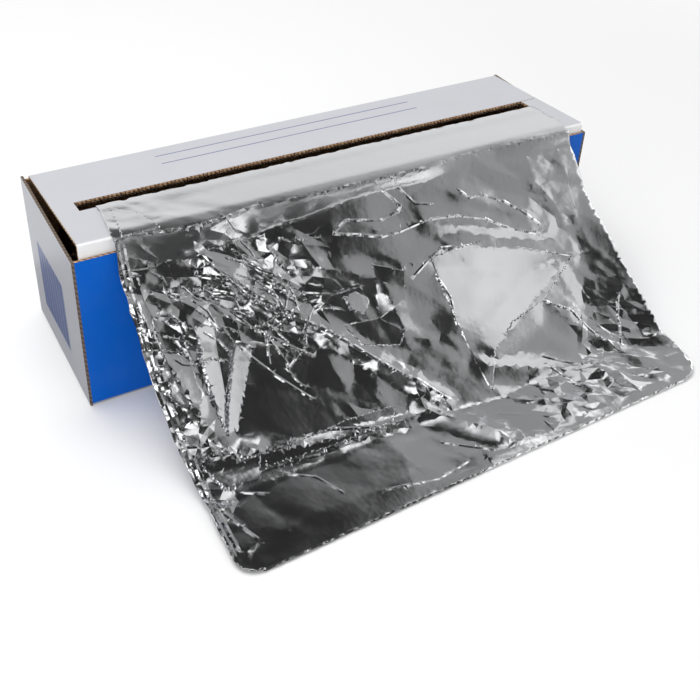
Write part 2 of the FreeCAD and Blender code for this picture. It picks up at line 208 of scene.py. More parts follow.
@dataclass(frozen=True)
class BoardFinish:
    """Corrugated board: printed and lightly glazed outside, bare kraft inside and at its cut edges."""

    pale: tuple[float, float, float, float] = (0.45, 0.46, 0.50, 1.0)
    lid_pale: tuple[float, float, float, float] = (0.53, 0.535, 0.57, 1.0)
    tuck_white: tuple[float, float, float, float] = (0.95, 0.95, 0.96, 1.0)
    blue: tuple[float, float, float, float] = (0.0, 0.124, 0.61, 1.0)
    navy: tuple[float, float, float, float] = (0.02, 0.05, 0.24, 1.0)
    field_blue: tuple[float, float, float, float] = (0.045, 0.085, 0.26, 1.0)
    kraft: tuple[float, float, float, float] = (0.27, 0.15, 0.075, 1.0)
    kraft_light: tuple[float, float, float, float] = (0.46, 0.30, 0.18, 1.0)
    # Cut edges: the light tones are the flute walls, the dark tones are painted shade in the flute hollows; the end
    # panels' edges take darker, greyer copies of both.
    cut_light: tuple[float, float, float, float] = (0.55, 0.36, 0.21, 1.0)
    cut_flute_shade: tuple[float, float, float, float] = (0.24, 0.13, 0.065, 1.0)
    end_light: tuple[float, float, float, float] = (0.19, 0.15, 0.12, 1.0)
    end_flute_shade: tuple[float, float, float, float] = (0.10, 0.075, 0.055, 1.0)
    flute_pitch: float = 3.2
    gloss: float = 0.42

    def outside(self, panel: Panel, graph: Graph, place: dict[Axis, Socket]) -> Socket:
        """Share that is 1 on the panel's printed face.

        Args:
            panel: which panel.
            graph: the material's graph.
            place: object coordinates in millimetres.

        Returns:
            The share.
        """
        x, y, z = place[Axis.X], place[Axis.Y], place[Axis.Z]
        if panel is Panel.FRONT:
            return graph.math("LESS_THAN", y, -47.45)
        if panel is Panel.BACK:
            return graph.math("GREATER_THAN", y, 47.45)
        if panel is Panel.BASE:
            return graph.math("LESS_THAN", z, 1.55)
        if panel is Panel.LID:
            over_back = graph.math("GREATER_THAN", y, 47.45)
            top = graph.math("GREATER_THAN", self.lid_depth(graph, place), -0.25)
            tuck = graph.math("LESS_THAN", y, -45.5)
            fold = graph.math("MULTIPLY", graph.math("LESS_THAN", y, -44.0),
                              graph.math("GREATER_THAN", self.lid_depth(graph, place), -1.45))
            return graph.math("MAXIMUM", graph.math("MAXIMUM", top, tuck), graph.math("MAXIMUM", fold, over_back))
        face = graph.math("GREATER_THAN", graph.math("ABSOLUTE", x), 164.95)
        fold = graph.math("MULTIPLY", graph.math("LESS_THAN", z, 1.45),
                          graph.math("LESS_THAN", graph.math("ABSOLUTE", y), 47.45))
        return graph.math("MAXIMUM", face, fold)

    def lid_depth(self, graph: Graph, place: dict[Axis, Socket]) -> Socket:
        """Height over the lid's upper face, negative inside the board."""
        lid = LidShape()
        fall = (lid.lift_right - lid.lift_left) / (lid.right - lid.left)
        lift = graph.math("MULTIPLY_ADD", place[Axis.X], fall, lid.lift_left - fall * lid.left)
        reach = lid.back - lid.tuck_face - 2 * lid.crease
        share = graph.math("MULTIPLY_ADD", place[Axis.Y], -1.0 / reach, (lid.back - lid.crease) / reach)
        top = graph.math("MULTIPLY_ADD", lift, graph.math("MINIMUM", share, 1.0), lid.wall_top)
        return graph.math("SUBTRACT", place[Axis.Z], top)

    def printed(self, panel: Panel, graph: Graph, place: dict[Axis, Socket]) -> object:
        """Colour of the panel's printed face."""
        if panel is Panel.FRONT:
            return self.blue
        if panel is Panel.LID:
            tuck = graph.ramp(place[Axis.Y], -44.2, -45.3)
            white = graph.mix(tuck, self.lid_pale, self.tuck_white)
            line = graph.within(place[Axis.X], -90.0, 84.0, 0.2)
            rules = [graph.within(place[Axis.Y], y, y + 0.9, 0.15) for y in (24.0, 35.0)]
            rule = graph.math("MULTIPLY", line, graph.math("MAXIMUM", rules[0], rules[1]))
            return graph.mix(graph.math("MULTIPLY", rule, 0.85), white, self.navy)
        if panel in (Panel.LEFT_END, Panel.RIGHT_END):
            field_y = graph.within(place[Axis.Y], -19.5, 29.5, 0.3)
            field_z = graph.within(place[Axis.Z], 18.0, 63.0, 0.3)
            stripe = graph.ramp(graph.math("PINGPONG", place[Axis.Y], 3.0), 0.7, 0.9)
            tint = graph.math("MULTIPLY_ADD", stripe, 0.35, 0.5)
            area = graph.math("MULTIPLY", graph.math("MULTIPLY", field_y, field_z), tint)
            return graph.mix(area, self.pale, self.field_blue)
        return self.pale

    def build(self, panel: Panel) -> bpy.types.Material:
        """Make the panel's material."""
        material, graph, shader = new_material("board_" + panel.value)
        metres = graph.add("ShaderNodeTexCoord").outputs["Object"]
        scaled = graph.add("ShaderNodeVectorMath", {0: metres, "Scale": 1000.0}, operation="SCALE").outputs[0]
        parts = graph.add("ShaderNodeSeparateXYZ", {0: scaled})
        place = {axis: parts.outputs[axis.value] for axis in Axis}
        outside = self.outside(panel, graph, place)
        fibres = graph.noise(scaled, 0.55, 5.0, 0.65)
        mottle = graph.noise(scaled, 0.035, 3.0)
        along = graph.math("ADD", graph.math("ADD", place[Axis.X], place[Axis.Y]), place[Axis.Z])
        wave = graph.math("SINE", graph.math("MULTIPLY", along, 2 * math.pi / self.flute_pitch))
        kraft = graph.mix(graph.ramp(fibres, 0.3, 0.75), self.kraft, self.kraft_light)
        ends = panel in (Panel.LEFT_END, Panel.RIGHT_END)
        # Flute stripes on the cut edges: light flute walls between dark stripes of painted shade in the flute hollows.
        cut = graph.mix(graph.ramp(wave, -0.6, 0.6), self.end_flute_shade if ends else self.cut_flute_shade,
                        self.end_light if ends else self.cut_light)
        normal = graph.add("ShaderNodeNewGeometry").outputs["Normal"]
        edge = self.cut_edge(panel, graph, place, normal)
        bare = graph.mix(edge, kraft, cut)
        full = 0.02 if panel is Panel.FRONT else 0.08
        printed = graph.mix(graph.math("MULTIPLY", graph.ramp(mottle, 0.35, 0.7), full),
                            self.printed(panel, graph, place), (0.40, 0.39, 0.38, 1.0))
        scuff = graph.math("MULTIPLY", graph.ramp(fibres, 0.62, 0.74), full)
        printed = graph.mix(scuff, printed, (0.9, 0.9, 0.9, 1.0))
        graph.feed(shader.inputs["Base Color"], graph.mix(outside, bare, printed))
        rough = graph.add("ShaderNodeMapRange", {0: outside, 3: 0.85, 4: self.gloss}).outputs[0]
        rough = graph.math("MULTIPLY_ADD", graph.math("SUBTRACT", fibres, 0.5), 0.12, rough)
        graph.feed(shader.inputs["Roughness"], rough)
        shader.inputs["Specular IOR Level"].default_value = 0.12 if panel is Panel.FRONT else 0.35
        ribs = graph.math("MULTIPLY", wave if panel is not Panel.LID else
                          graph.math("SINE", graph.math("MULTIPLY", place[Axis.X], 2 * math.pi / self.flute_pitch)),
                          0.35)
        height = graph.math("ADD", ribs, graph.math("MULTIPLY", fibres, 0.8))
        bump = graph.add("ShaderNodeBump", {"Strength": 0.25, "Distance": 0.00006, "Height": height})
        graph.feed(shader.inputs["Normal"], bump.outputs[0])
        return material

    def cut_edge(self, panel: Panel, graph: Graph, place: dict[Axis, Socket], normal: Socket) -> Socket:
        """Share that is 1 on the panel's cut edges, where the flutes show."""
        facing = graph.add("ShaderNodeSeparateXYZ", {0: normal})
        if panel in (Panel.LEFT_END, Panel.RIGHT_END):
            return graph.math("LESS_THAN", graph.math("ABSOLUTE", facing.outputs["X"]), 0.5)
        if panel in (Panel.FRONT, Panel.BACK):
            return graph.math("LESS_THAN", graph.math("ABSOLUTE", facing.outputs["Y"]), 0.5)
        if panel is Panel.BASE:
            return graph.math("LESS_THAN", graph.math("ABSOLUTE", facing.outputs["Z"]), 0.2)
        level = graph.math("ABSOLUTE", facing.outputs["Z"])
        return graph.math("LESS_THAN", level, 0.4)


@dataclass(frozen=True)
class SteelFinish:
    """Brushed steel strip."""

    colour: tuple[float, float, float, float] = (0.60, 0.60, 0.61, 1.0)

    def build(self) -> bpy.types.Material:
        """Make the material, brushed along the strip."""
        material, graph, shader = new_material("steel_brushed")
        metres = graph.add("ShaderNodeTexCoord").outputs["Object"]
        drawn = graph.add("ShaderNodeMapping", {0: metres, "Scale": (60.0, 4000.0, 4000.0)}).outputs[0]
        brush = graph.noise(drawn, 1.0, 3.0)
        shader.inputs["Metallic"].default_value = 1.0
        graph.feed(shader.inputs["Base Color"], graph.mix(brush, self.colour, (0.42, 0.42, 0.43, 1.0)))
        graph.feed(shader.inputs["Roughness"], graph.math("MULTIPLY_ADD", brush, 0.2, 0.25))
        bump = graph.add("ShaderNodeBump", {"Strength": 0.3, "Distance": 0.00003, "Height": brush})
        graph.feed(shader.inputs["Normal"], bump.outputs[0])
        return material


@dataclass(frozen=True)
class TubeFinish:
    """Bare paperboard, wound in a spiral."""

    kraft: tuple[float, float, float, float] = (0.30, 0.19, 0.11, 1.0)
    seam: tuple[float, float, float, float] = (0.12, 0.07, 0.04, 1.0)
    axis_z: float = 0.0439
    pitch: float = 0.06

    def build(self) -> bpy.types.Material:
        """Make the material, with the spiral seam."""
        material, graph, shader = new_material("tube_kraft")
        metres = graph.add("ShaderNodeTexCoord").outputs["Object"]
        parts = graph.add("ShaderNodeSeparateXYZ", {0: metres})
        rise = graph.math("SUBTRACT", parts.outputs["Z"], self.axis_z)
        turn = graph.math("DIVIDE", graph.math("ARCTAN2", rise, parts.outputs["Y"]), 2 * math.pi)
        along = graph.math("ADD", graph.math("DIVIDE", parts.outputs["X"], self.pitch), turn)
        seam = graph.math("LESS_THAN", graph.math("FRACT", along), 0.02)
        fibres = graph.noise(metres, 700.0, 5.0, 0.65)
        board = graph.mix(graph.ramp(fibres, 0.3, 0.7), self.kraft, (0.42, 0.29, 0.18, 1.0))
        graph.feed(shader.inputs["Base Color"], graph.mix(seam, board, self.seam))
        shader.inputs["Roughness"].default_value = 0.85
        bump = graph.add("ShaderNodeBump", {"Strength": 0.3, "Distance": 0.0001, "Height": fibres})
        graph.feed(shader.inputs["Normal"], bump.outputs[0])
        return material


@dataclass(frozen=True)
class LidShape:
    """Lid as the carton holds it, in millimetres: a little open, and twisted."""

    board: float = 1.6
    crease: float = 1.5
    wall_top: float = 95.0
    back: float = 47.5
    tuck_face: float = -45.6
    left: float = -160.5
    right: float = 163.0
    lift_left: float = 8.5
    lift_right: float = 5.8

    def front_z(self, x: np.ndarray | float) -> np.ndarray | float:
        """Height of the lid's front edge at x."""
        share = (x - self.left) / (self.right - self.left)
        return self.wall_top + self.lift_left + (self.lift_right - self.lift_left) * share

    def top_z(self, x: np.ndarray | float, y: np.ndarray | float) -> np.ndarray | float:
        """Height of the lid's upper face at x, y."""
        share = (self.back - self.crease - y) / (self.back - self.tuck_face - 2 * self.crease)
        return self.wall_top + (self.front_z(x) - self.wall_top) * share

    def under_z(self, x: np.ndarray | float, y: np.ndarray | float) -> np.ndarray | float:
        """Height of the lid's lower face at x, y."""
        return self.top_z(x, y) - self.board


@dataclass(frozen=True)
class SheetPath:
    """Line that the drawn foil follows from the roll to its hem, in millimetres."""

    lid: LidShape = LidShape()
    roll_radius: float = 42.0
    roll_axis_z: float = 43.9
    mouth_rear: float = -8.5
    mouth_length: float = 11.0
    mouth_rise: float = 0.6
    lid_gap: float = 0.4
    overhang: float = 6.4
    overhang_depth: float = 8.4
    overhang_fall: float = 0.08
    edge_reach: tuple[Point2, ...] = ((-150, 2.5), (-125, 3.5), (-102, 8.5), (-84, 7.2), (-63, 2.6), (-37, 5.6), (-14, 5.0), (7, 5.6),
                                      (42, 6.0), (63, 3.0), (92, 2.2), (137, 5.4), (176, 5.0))
    drop_left: float = 10.0
    drop_right: float = 1.0
    drop_span: float = 100.0
    touch_down: float = -146.0
    slope_power: float = 1.38
    table_gap: float = 2.2
    run_left: float = 45.0
    run_right: float = 36.0
    width: float = 300.0
    hem_length: float = 12.0
    hem_low: float = 0.7
    middle_of_sheet: float = 0.3

    def line(self, x: float) -> tuple[np.ndarray, float, float]:
        """Follow the foil at x.

        Args:
            x: distance across from the middle.

        Returns:
            Points (y, z), the distance along the sheet to the bend at the lid's edge, and to the hem.
        """
        lid = self.lid
        mouth = (self.mouth_rear, lid.under_z(x, self.mouth_rear))
        distance = math.hypot(mouth[0], mouth[1] - self.roll_axis_z)
        angle = math.atan2(mouth[1] - self.roll_axis_z, mouth[0]) + math.acos(self.roll_radius / distance)
        reach = self.roll_radius + self.middle_of_sheet
        points = [(reach * math.cos(angle + 0.35 - k * 0.035), self.roll_axis_z
                   + reach * math.sin(angle + 0.35 - k * 0.035)) for k in range(11)]
        middle = self.mouth_rear - self.mouth_length / 2
        for k in range(25):
            turn = math.pi * k / 24
            y = middle + self.mouth_length / 2 * math.cos(turn)
            low = lid.top_z(x, y) + self.lid_gap
            points.append((y, low + (self.mouth_rise - self.lid_gap) * math.sin(turn)))
        start = lid.tuck_face + lid.crease
        top = lid.top_z(x, start) + self.lid_gap
        points.append((start, top))
        zero = len(points) - 1
        share = min(1.0, max(0.0, (x + self.drop_span) / self.drop_span))
        drop = self.overhang_depth + self.drop_left + (self.drop_right - self.drop_left) * share
        low = (lid.tuck_face - self.overhang - 0.6, top - drop)
        reach = lid.crease + float(np.interp(x, *zip(*self.edge_reach)))
        edge = (start - reach, top - self.overhang_fall * reach)
        for first, last in (((start, top), edge), (edge, low)):
            points += [(first[0] + (last[0] - first[0]) * k / 8, first[1] + (last[1] - first[1]) * k / 8)
                       for k in range(1, 9)]
        high = points[-1]
        for k in range(1, 81):
            left_over = 1 - k / 80
            y = self.touch_down + (high[0] - self.touch_down) * left_over
            points.append((y, self.table_gap + (high[1] - self.table_gap) * left_over ** self.slope_power))
        run = self.run_left + (self.run_right - self.run_left) * (x / self.width + 0.5)
        points += [(self.touch_down - run * k / 12, self.table_gap) for k in range(1, 13)]
        hem = len(points) - 1
        turn_radius = (self.table_gap - self.hem_low) / 2
        end = self.touch_down - run
        for k in range(1, 7):
            turn = math.pi * k / 6
            points.append((end - turn_radius * math.sin(turn), self.table_gap
                           - turn_radius * (1 - math.cos(turn))))
        points.append((end + self.hem_length, self.hem_low))
        line = np.array(points)
        along = np.concatenate([[0.0], np.cumsum(np.hypot(*np.diff(line, axis=0).T))])
        return line, along[zero], along[hem]


class SheetMap:
    """Takes a point of the flat sheet to its place on the draped one.

    The flat sheet's coordinates are x across and v along, both in millimetres, with v = 0 at the lid's
    front edge and v = hem at the fold of the hem, wherever that lies across the sheet.
    """

    def __init__(self, path: SheetPath, x_low: float = -172.0, x_high: float = 176.0) -> None:
        """Sample the path over a grid."""
        self.xs = np.linspace(x_low, x_high, 88)
        middle, zero, hem = path.line(0.0)
        self.start = -zero
        self.hem = hem - zero
        self.end = self.hem + path.hem_length + 2.2
        self.vs = np.arange(self.start, self.end + 0.5, 0.5)
        grid = np.zeros((len(self.xs), len(self.vs), 2))
        self.stretch = np.zeros(len(self.xs))
        for i, x in enumerate(self.xs):
            line, zero_x, hem_x = path.line(float(x))
            along = np.concatenate([[0.0], np.cumsum(np.hypot(*np.diff(line, axis=0).T))]) - zero_x
            self.stretch[i] = (hem_x - zero_x) / self.hem
            s = np.where(self.vs < 0, self.vs * zero_x / zero, self.vs * self.stretch[i])
            s = np.where(self.vs > self.hem, hem_x - zero_x + self.vs - self.hem, s)
            grid[i, :, 0] = np.interp(s, along, line[:, 0])
            grid[i, :, 1] = np.interp(s, along, line[:, 1])
        self.grid = self._soften(grid)
        slope = np.gradient(self.grid, axis=1)
        size = np.maximum(np.linalg.norm(slope, axis=2), 1e-6)
        self.outward = np.stack([slope[:, :, 1] / size, -slope[:, :, 0] / size], axis=2)

    def _soften(self, grid: np.ndarray) -> np.ndarray:
        """Round the corners of the path, except near the hem."""
        soft = grid.copy()
        for _ in range(14):
            soft[:, 1:-1] = 0.25 * soft[:, :-2] + 0.5 * soft[:, 1:-1] + 0.25 * soft[:, 2:]
        keep = np.clip((self.hem - 1.0 - self.vs) / 4.0, 0.0, 1.0)[None, :, None]
        return soft * keep + grid * (1 - keep)

    def to_v(self, x: np.ndarray, s: np.ndarray) -> np.ndarray:
        """Distance v for a distance s measured on the draped sheet."""
        return np.where(s > 0, s / np.interp(x, self.xs, self.stretch), s)

    def place(self, x: np.ndarray, v: np.ndarray, height: np.ndarray) -> np.ndarray:
        """Draped place of flat points.

        Args:
            x: distance across.
            v: distance along.
            height: how far each point stands out from the smooth sheet.

        Returns:
            Points (x, y, z) in millimetres.
        """
        i = np.clip((x - self.xs[0]) / (self.xs[1] - self.xs[0]), 0, len(self.xs) - 1.001)
        j = np.clip((v - self.vs[0]) / 0.5, 0, len(self.vs) - 1.001)
        i0, j0 = i.astype(int), j.astype(int)
        a, b = (i - i0)[:, None], (j - j0)[:, None]

        def blend(table: np.ndarray) -> np.ndarray:
            """Value of a table between its grid points."""
            low = table[i0, j0] * (1 - b) + table[i0, j0 + 1] * b
            high = table[i0 + 1, j0] * (1 - b) + table[i0 + 1, j0 + 1] * b
            return low * (1 - a) + high * a

        yz = blend(self.grid) + blend(self.outward) * height[:, None]
        return np.column_stack([x, yz])


@dataclass(frozen=True)
class Fold:
    """A broad ridge from one point of the sheet to another, in millimetres."""

    start: Point2
    end: Point2
    height: float
    half_width: float


@dataclass(frozen=True)
class Pinch:
    """A thin beaded crease along a line of points, in millimetres."""

    points: tuple[Point2, ...]
    height: float = 0.6
    half_width: float = 1.0


@dataclass(frozen=True)
class Patch:
    """An area of the sheet with its share of crumple, from 0 for smooth to 1."""

    middle: Point2
    size: Point2
    share: float


@dataclass(frozen=True)
class Plate:
    """A flat area between creases: its corners across and along, and how far each stands out."""

    corners: tuple[tuple[float, float, float], ...]


@dataclass(frozen=True)
class Level:
    """One scale of flat facets: size, height where smooth and where crumpled, where they start, stretch."""

    spacing: float
    calm: float
    rough: float
    starts_at: float
    stretch: float = 1.0


FOLDS = (
    Fold((-97, 34), (-39, 88), 2.6, 10.0),
    Fold((-39, 88), (8, 138), 2.7, 8.0),
    Fold((-136, 124), (-103, 134), 2.6, 8.0),
    Fold((-103, 137), (-14, 142), 1.4, 5.0),
    Fold((-7, 140), (20, 172), 3.6, 10.0),
    Fold((-24, 34), (32, 38), 1.1, 12.0),
    Fold((32, 38), (108, 60), 1.4, 14.0),
    Fold((61, 26), (108, 56), 0.8, 10.0),
    Fold((-46, 45), (-6, 62), 1.6, 11.0),
    Fold((-6, 62), (52, 56), 1.6, 12.0),
    Fold((-6, 62), (0, 94), 1.4, 12.0),
    Fold((52, 56), (124, 80), 1.6, 14.0),
    Fold((31, 68), (33, 102), 0.4, 10.0),
    Fold((112, 86), (49, 121), 1.8, 14.0),
    Fold((94, 100), (122, 137), 1.1, 12.0),
    Fold((166, 84), (166, 142), 5.5, 44.0),
    Fold((40, 128), (104, 150), 2.0, 12.0),
    Fold((-140, 40), (-128, 96), 2.6, 10.0),
)

PINCHES = (
    Pinch(((-24, 32), (-9, 36), (3, 40), (16, 40), (32, 38), (55, 39), (72, 44), (82, 51), (97, 58), (107, 63)), 0.7),
    Pinch(((61, 25), (66, 30), (75, 30), (89, 37), (99, 46), (108, 56)), 0.6),
    Pinch(((-24, 31), (-15, 26), (6, 31), (18, 29), (21, 26), (11, 14), (7, 8)), 0.6),
    Pinch(((18, 8), (24, 18), (30, 27), (41, 30)), 0.6),
    Pinch(((-97, 34), (-81, 54), (-62, 68), (-48, 78), (-39, 88), (-21, 107), (-13, 115), (-1, 125), (8, 138)), 0.9, 1.2),
    Pinch(((-133, 125), (-117, 125), (-114, 135), (-103, 136), (-76, 133), (-63, 131), (-36, 141), (-13, 142)), 0.8, 1.1),
    Pinch(((-105, 145), (-73, 144), (-56, 142), (-34, 142)), 0.6),
    Pinch(((-52, 58), (-36, 64), (-18, 63)), 0.5),
    Pinch(((15, 67), (28, 60), (38, 56), (51, 57)), 0.6),
    Pinch(((29, 69), (34, 84), (32, 100)), 0.6),
    Pinch(((94, 101), (110, 112), (122, 137)), 0.8),
    Pinch(((146, 113), (139, 127), (132, 143)), 0.7),
    Pinch(((78, 132), (103, 150)), 0.7),
    Pinch(((77, 138), (88, 161)), 0.7),
    Pinch(((-10, 163), (13, 181)), 0.7),
    Pinch(((-78, 75), (-56, 92)), 0.7),
    Pinch(((-56, 178), (-26, 184), (-5, 180)), 0.6),
    Pinch(((-95, 79), (-80, 98), (-65, 113)), 0.7),
    Pinch(((-135, 138), (-132, 158), (-124, 178)), 0.6),
    Pinch(((-95, 150), (-81, 158), (-74, 172)), 0.5),
    Pinch(((-118, 150), (-108, 158)), 0.5),
)

PLATES = (
    Plate(((29, 60, 0.8), (66, 56, 0.3), (124, 82, -0.7), (94, 100, -0.6), (68, 107, -0.3), (49, 121, 0.2),
           (37, 143, 0.5))),
    Plate(((-7, 54, 0.2), (10, 62, 1.7), (6, 77, 1.7), (-13, 84, 0.2))),
    Plate(((-34, 82, 0.6), (-13, 83, 1.0), (-1, 94, 0.9), (-6, 101, 0.5), (-28, 95, 0.2))),
    Plate(((-29, 67, 2.2), (-22, 66, 1.3), (-15, 72, 0.3), (-21, 79, 1.1), (-28, 75, 2.1))),
    Plate(((-114, 62, 3.0), (-104, 66, 0.2), (-109, 101, 0.3), (-115, 116, 1.5), (-116, 90, 2.8))),
    Plate(((-96, 78, 3.0), (-88, 83, 0.2), (-109, 120, 0.3), (-115, 120, 2.0), (-110, 107, 2.8))),
    Plate(((-109, 66, 0.2), (-97, 72, 0.3), (-96, 78, 0.3), (-109, 101, 0.3))),
    Plate(((-134, -28, 0.5), (-124, -16, 0.8), (-118, 4, 1.3), (-138, 4, 1.0))),
    Plate(((-134, 50, 0.8), (-121, 58, 2.5), (-121, 72, 1.9), (-134, 66, 0.2))),
    Plate(((-134, 68, 0.4), (-121, 74, 0.9), (-121, 95, 0.7), (-128, 108, 0.3), (-136, 92, 0.2))),
    Plate(((-133, 126, 0.2), (-115, 137, 0.9), (-103, 137, 0.2), (-108, 148, 2.3), (-126, 144, 2.8))),
    Plate(((-100, 138, 0.2), (-52, 130, 0.4), (-22, 132, 0.6), (-28, 140, 0.6), (-56, 140, 0.5), (-102, 144, 0.2))),
)

PATCHES = (
    Patch((20, 60), (60, 30), 0.10),
    Patch((70, 40), (60, 30), 0.08),
    Patch((132, 60), (30, 50), 0.25),
    Patch((-20, 110), (60, 30), 0.25),
    Patch((-92, 50), (58, 40), 1.0),
    Patch((-133, 100), (15, 60), 0.9),
    Patch((-86, 108), (34, 28), 0.03),
    Patch((-60, 140), (60, 8), 0.12),
    Patch((-52, 14), (66, 8), 0.04),
    Patch((132, 130), (30, 34), 0.6),
    Patch((85, 165), (75, 22), 0.6),
    Patch((72, 176), (62, 11), 1.0),
    Patch((-20, 184), (130, 8), 0.3),
    Patch((-132, 178), (12, 22), 0.5),
    Patch((-128, -12), (26, 24), 0.6),
    Patch((150, 56), (14, 50), 0.08),
    Patch((-60, 168), (75, 20), 0.03),
)

LEVELS = (
    Level(36.0, 0.7, 2.0, 0.0),
    Level(14.0, 0.12, 2.2, 0.0, 1.6),
    Level(6.5, 0.05, 1.1, 0.12, 1.5),
    Level(3.2, 0.0, 0.14, 0.5),
)


class FlatMesh:
    """Points of the flat sheet joined into triangles, with the lines that stay as edges."""

    def __init__(self) -> None:
        """Start with nothing."""
        self.points: list[Point2] = []
        self.lines: list[tuple[int, int]] = []

    def add_points(self, points: np.ndarray) -> None:
        """Add loose points."""
        self.points += [(float(x), float(v)) for x, v in points]

    def add_line(self, corners: Sequence[Point2], step: float, closed: bool = False) -> None:
        """Add a line of points, divided into steps of about that length."""
        corners = list(corners) + ([corners[0]] if closed else [])
        first = len(self.points)
        for (x0, v0), (x1, v1) in zip(corners, corners[1:]):
            count = max(1, round(math.hypot(x1 - x0, v1 - v0) / step))
            self.points += [(x0 + (x1 - x0) * k / count, v0 + (v1 - v0) * k / count) for k in range(count)]
        if not closed:
            self.points.append(corners[-1])
        last = len(self.points) - 1
        self.lines += [(k, k + 1) for k in range(first, last)]
        if closed:
            self.lines.append((last, first))

    def triangulate(self) -> tuple[np.ndarray, np.ndarray]:
        """Join the points.

        Returns:
            Points (n, 2) and triangles (m, 3).
        """
        found = delaunay_2d_cdt([Vector(p) for p in self.points], self.lines, [], 0, 0.16, False)
        return np.array([tuple(p) for p in found[0]]), np.array(found[2])


class FacetField:
    """Height of flat facets over the whole sheet, for one level."""

    def __init__(self, points: np.ndarray, heights: np.ndarray, triangles: np.ndarray) -> None:
        """Keep the facets in a tree that a ray can meet."""
        corners = np.column_stack([points, heights])
        self.tree = BVHTree.FromPolygons([tuple(p) for p in corners], [tuple(int(k) for k in t) for t in triangles])

    def heights(self, points: np.ndarray) -> tuple[np.ndarray, np.ndarray]:
        """Height of the facets under each point, and which points have one."""
        down = Vector((0.0, 0.0, -1.0))
        result = np.zeros(len(points))
        met = np.zeros(len(points), bool)
        for k, (x, v) in enumerate(points):
            hit = self.tree.ray_cast(Vector((x, v, 100.0)), down)[0]
            if hit is not None:
                result[k] = hit.z
                met[k] = True
        return result, met


def scatter(chance: np.random.Generator, low: Point2, high: Point2, spacing: float) -> np.ndarray:
    """Points strewn over a rectangle, at least evenly enough to leave no hole.

    Args:
        chance: source of the random numbers.
        low: lower corner.
        high: upper corner.
        spacing: about how far apart they are.

    Returns:
        Points (n, 2).
    """
    xs = np.arange(low[0], high[0], spacing)
    vs = np.arange(low[1], high[1], spacing * 0.87)
    grid = np.array([(x + (0.5 * spacing if k % 2 else 0.0), v) for k, v in enumerate(vs) for x in xs])
    return grid + chance.uniform(-0.36, 0.36, grid.shape) * spacing


def inside(points: np.ndarray, outline: np.ndarray) -> np.ndarray:
    """Which points lie inside a closed outline."""
    x, v = points[:, 0], points[:, 1]
    found = np.zeros(len(points), bool)
    for (x0, v0), (x1, v1) in zip(outline, np.roll(outline, -1, axis=0)):
        crosses = (v0 > v) != (v1 > v)
        with np.errstate(divide="ignore", invalid="ignore"):
            at = (x1 - x0) * (v - v0) / (v1 - v0) + x0
        found ^= crosses & (x < at)
    return found


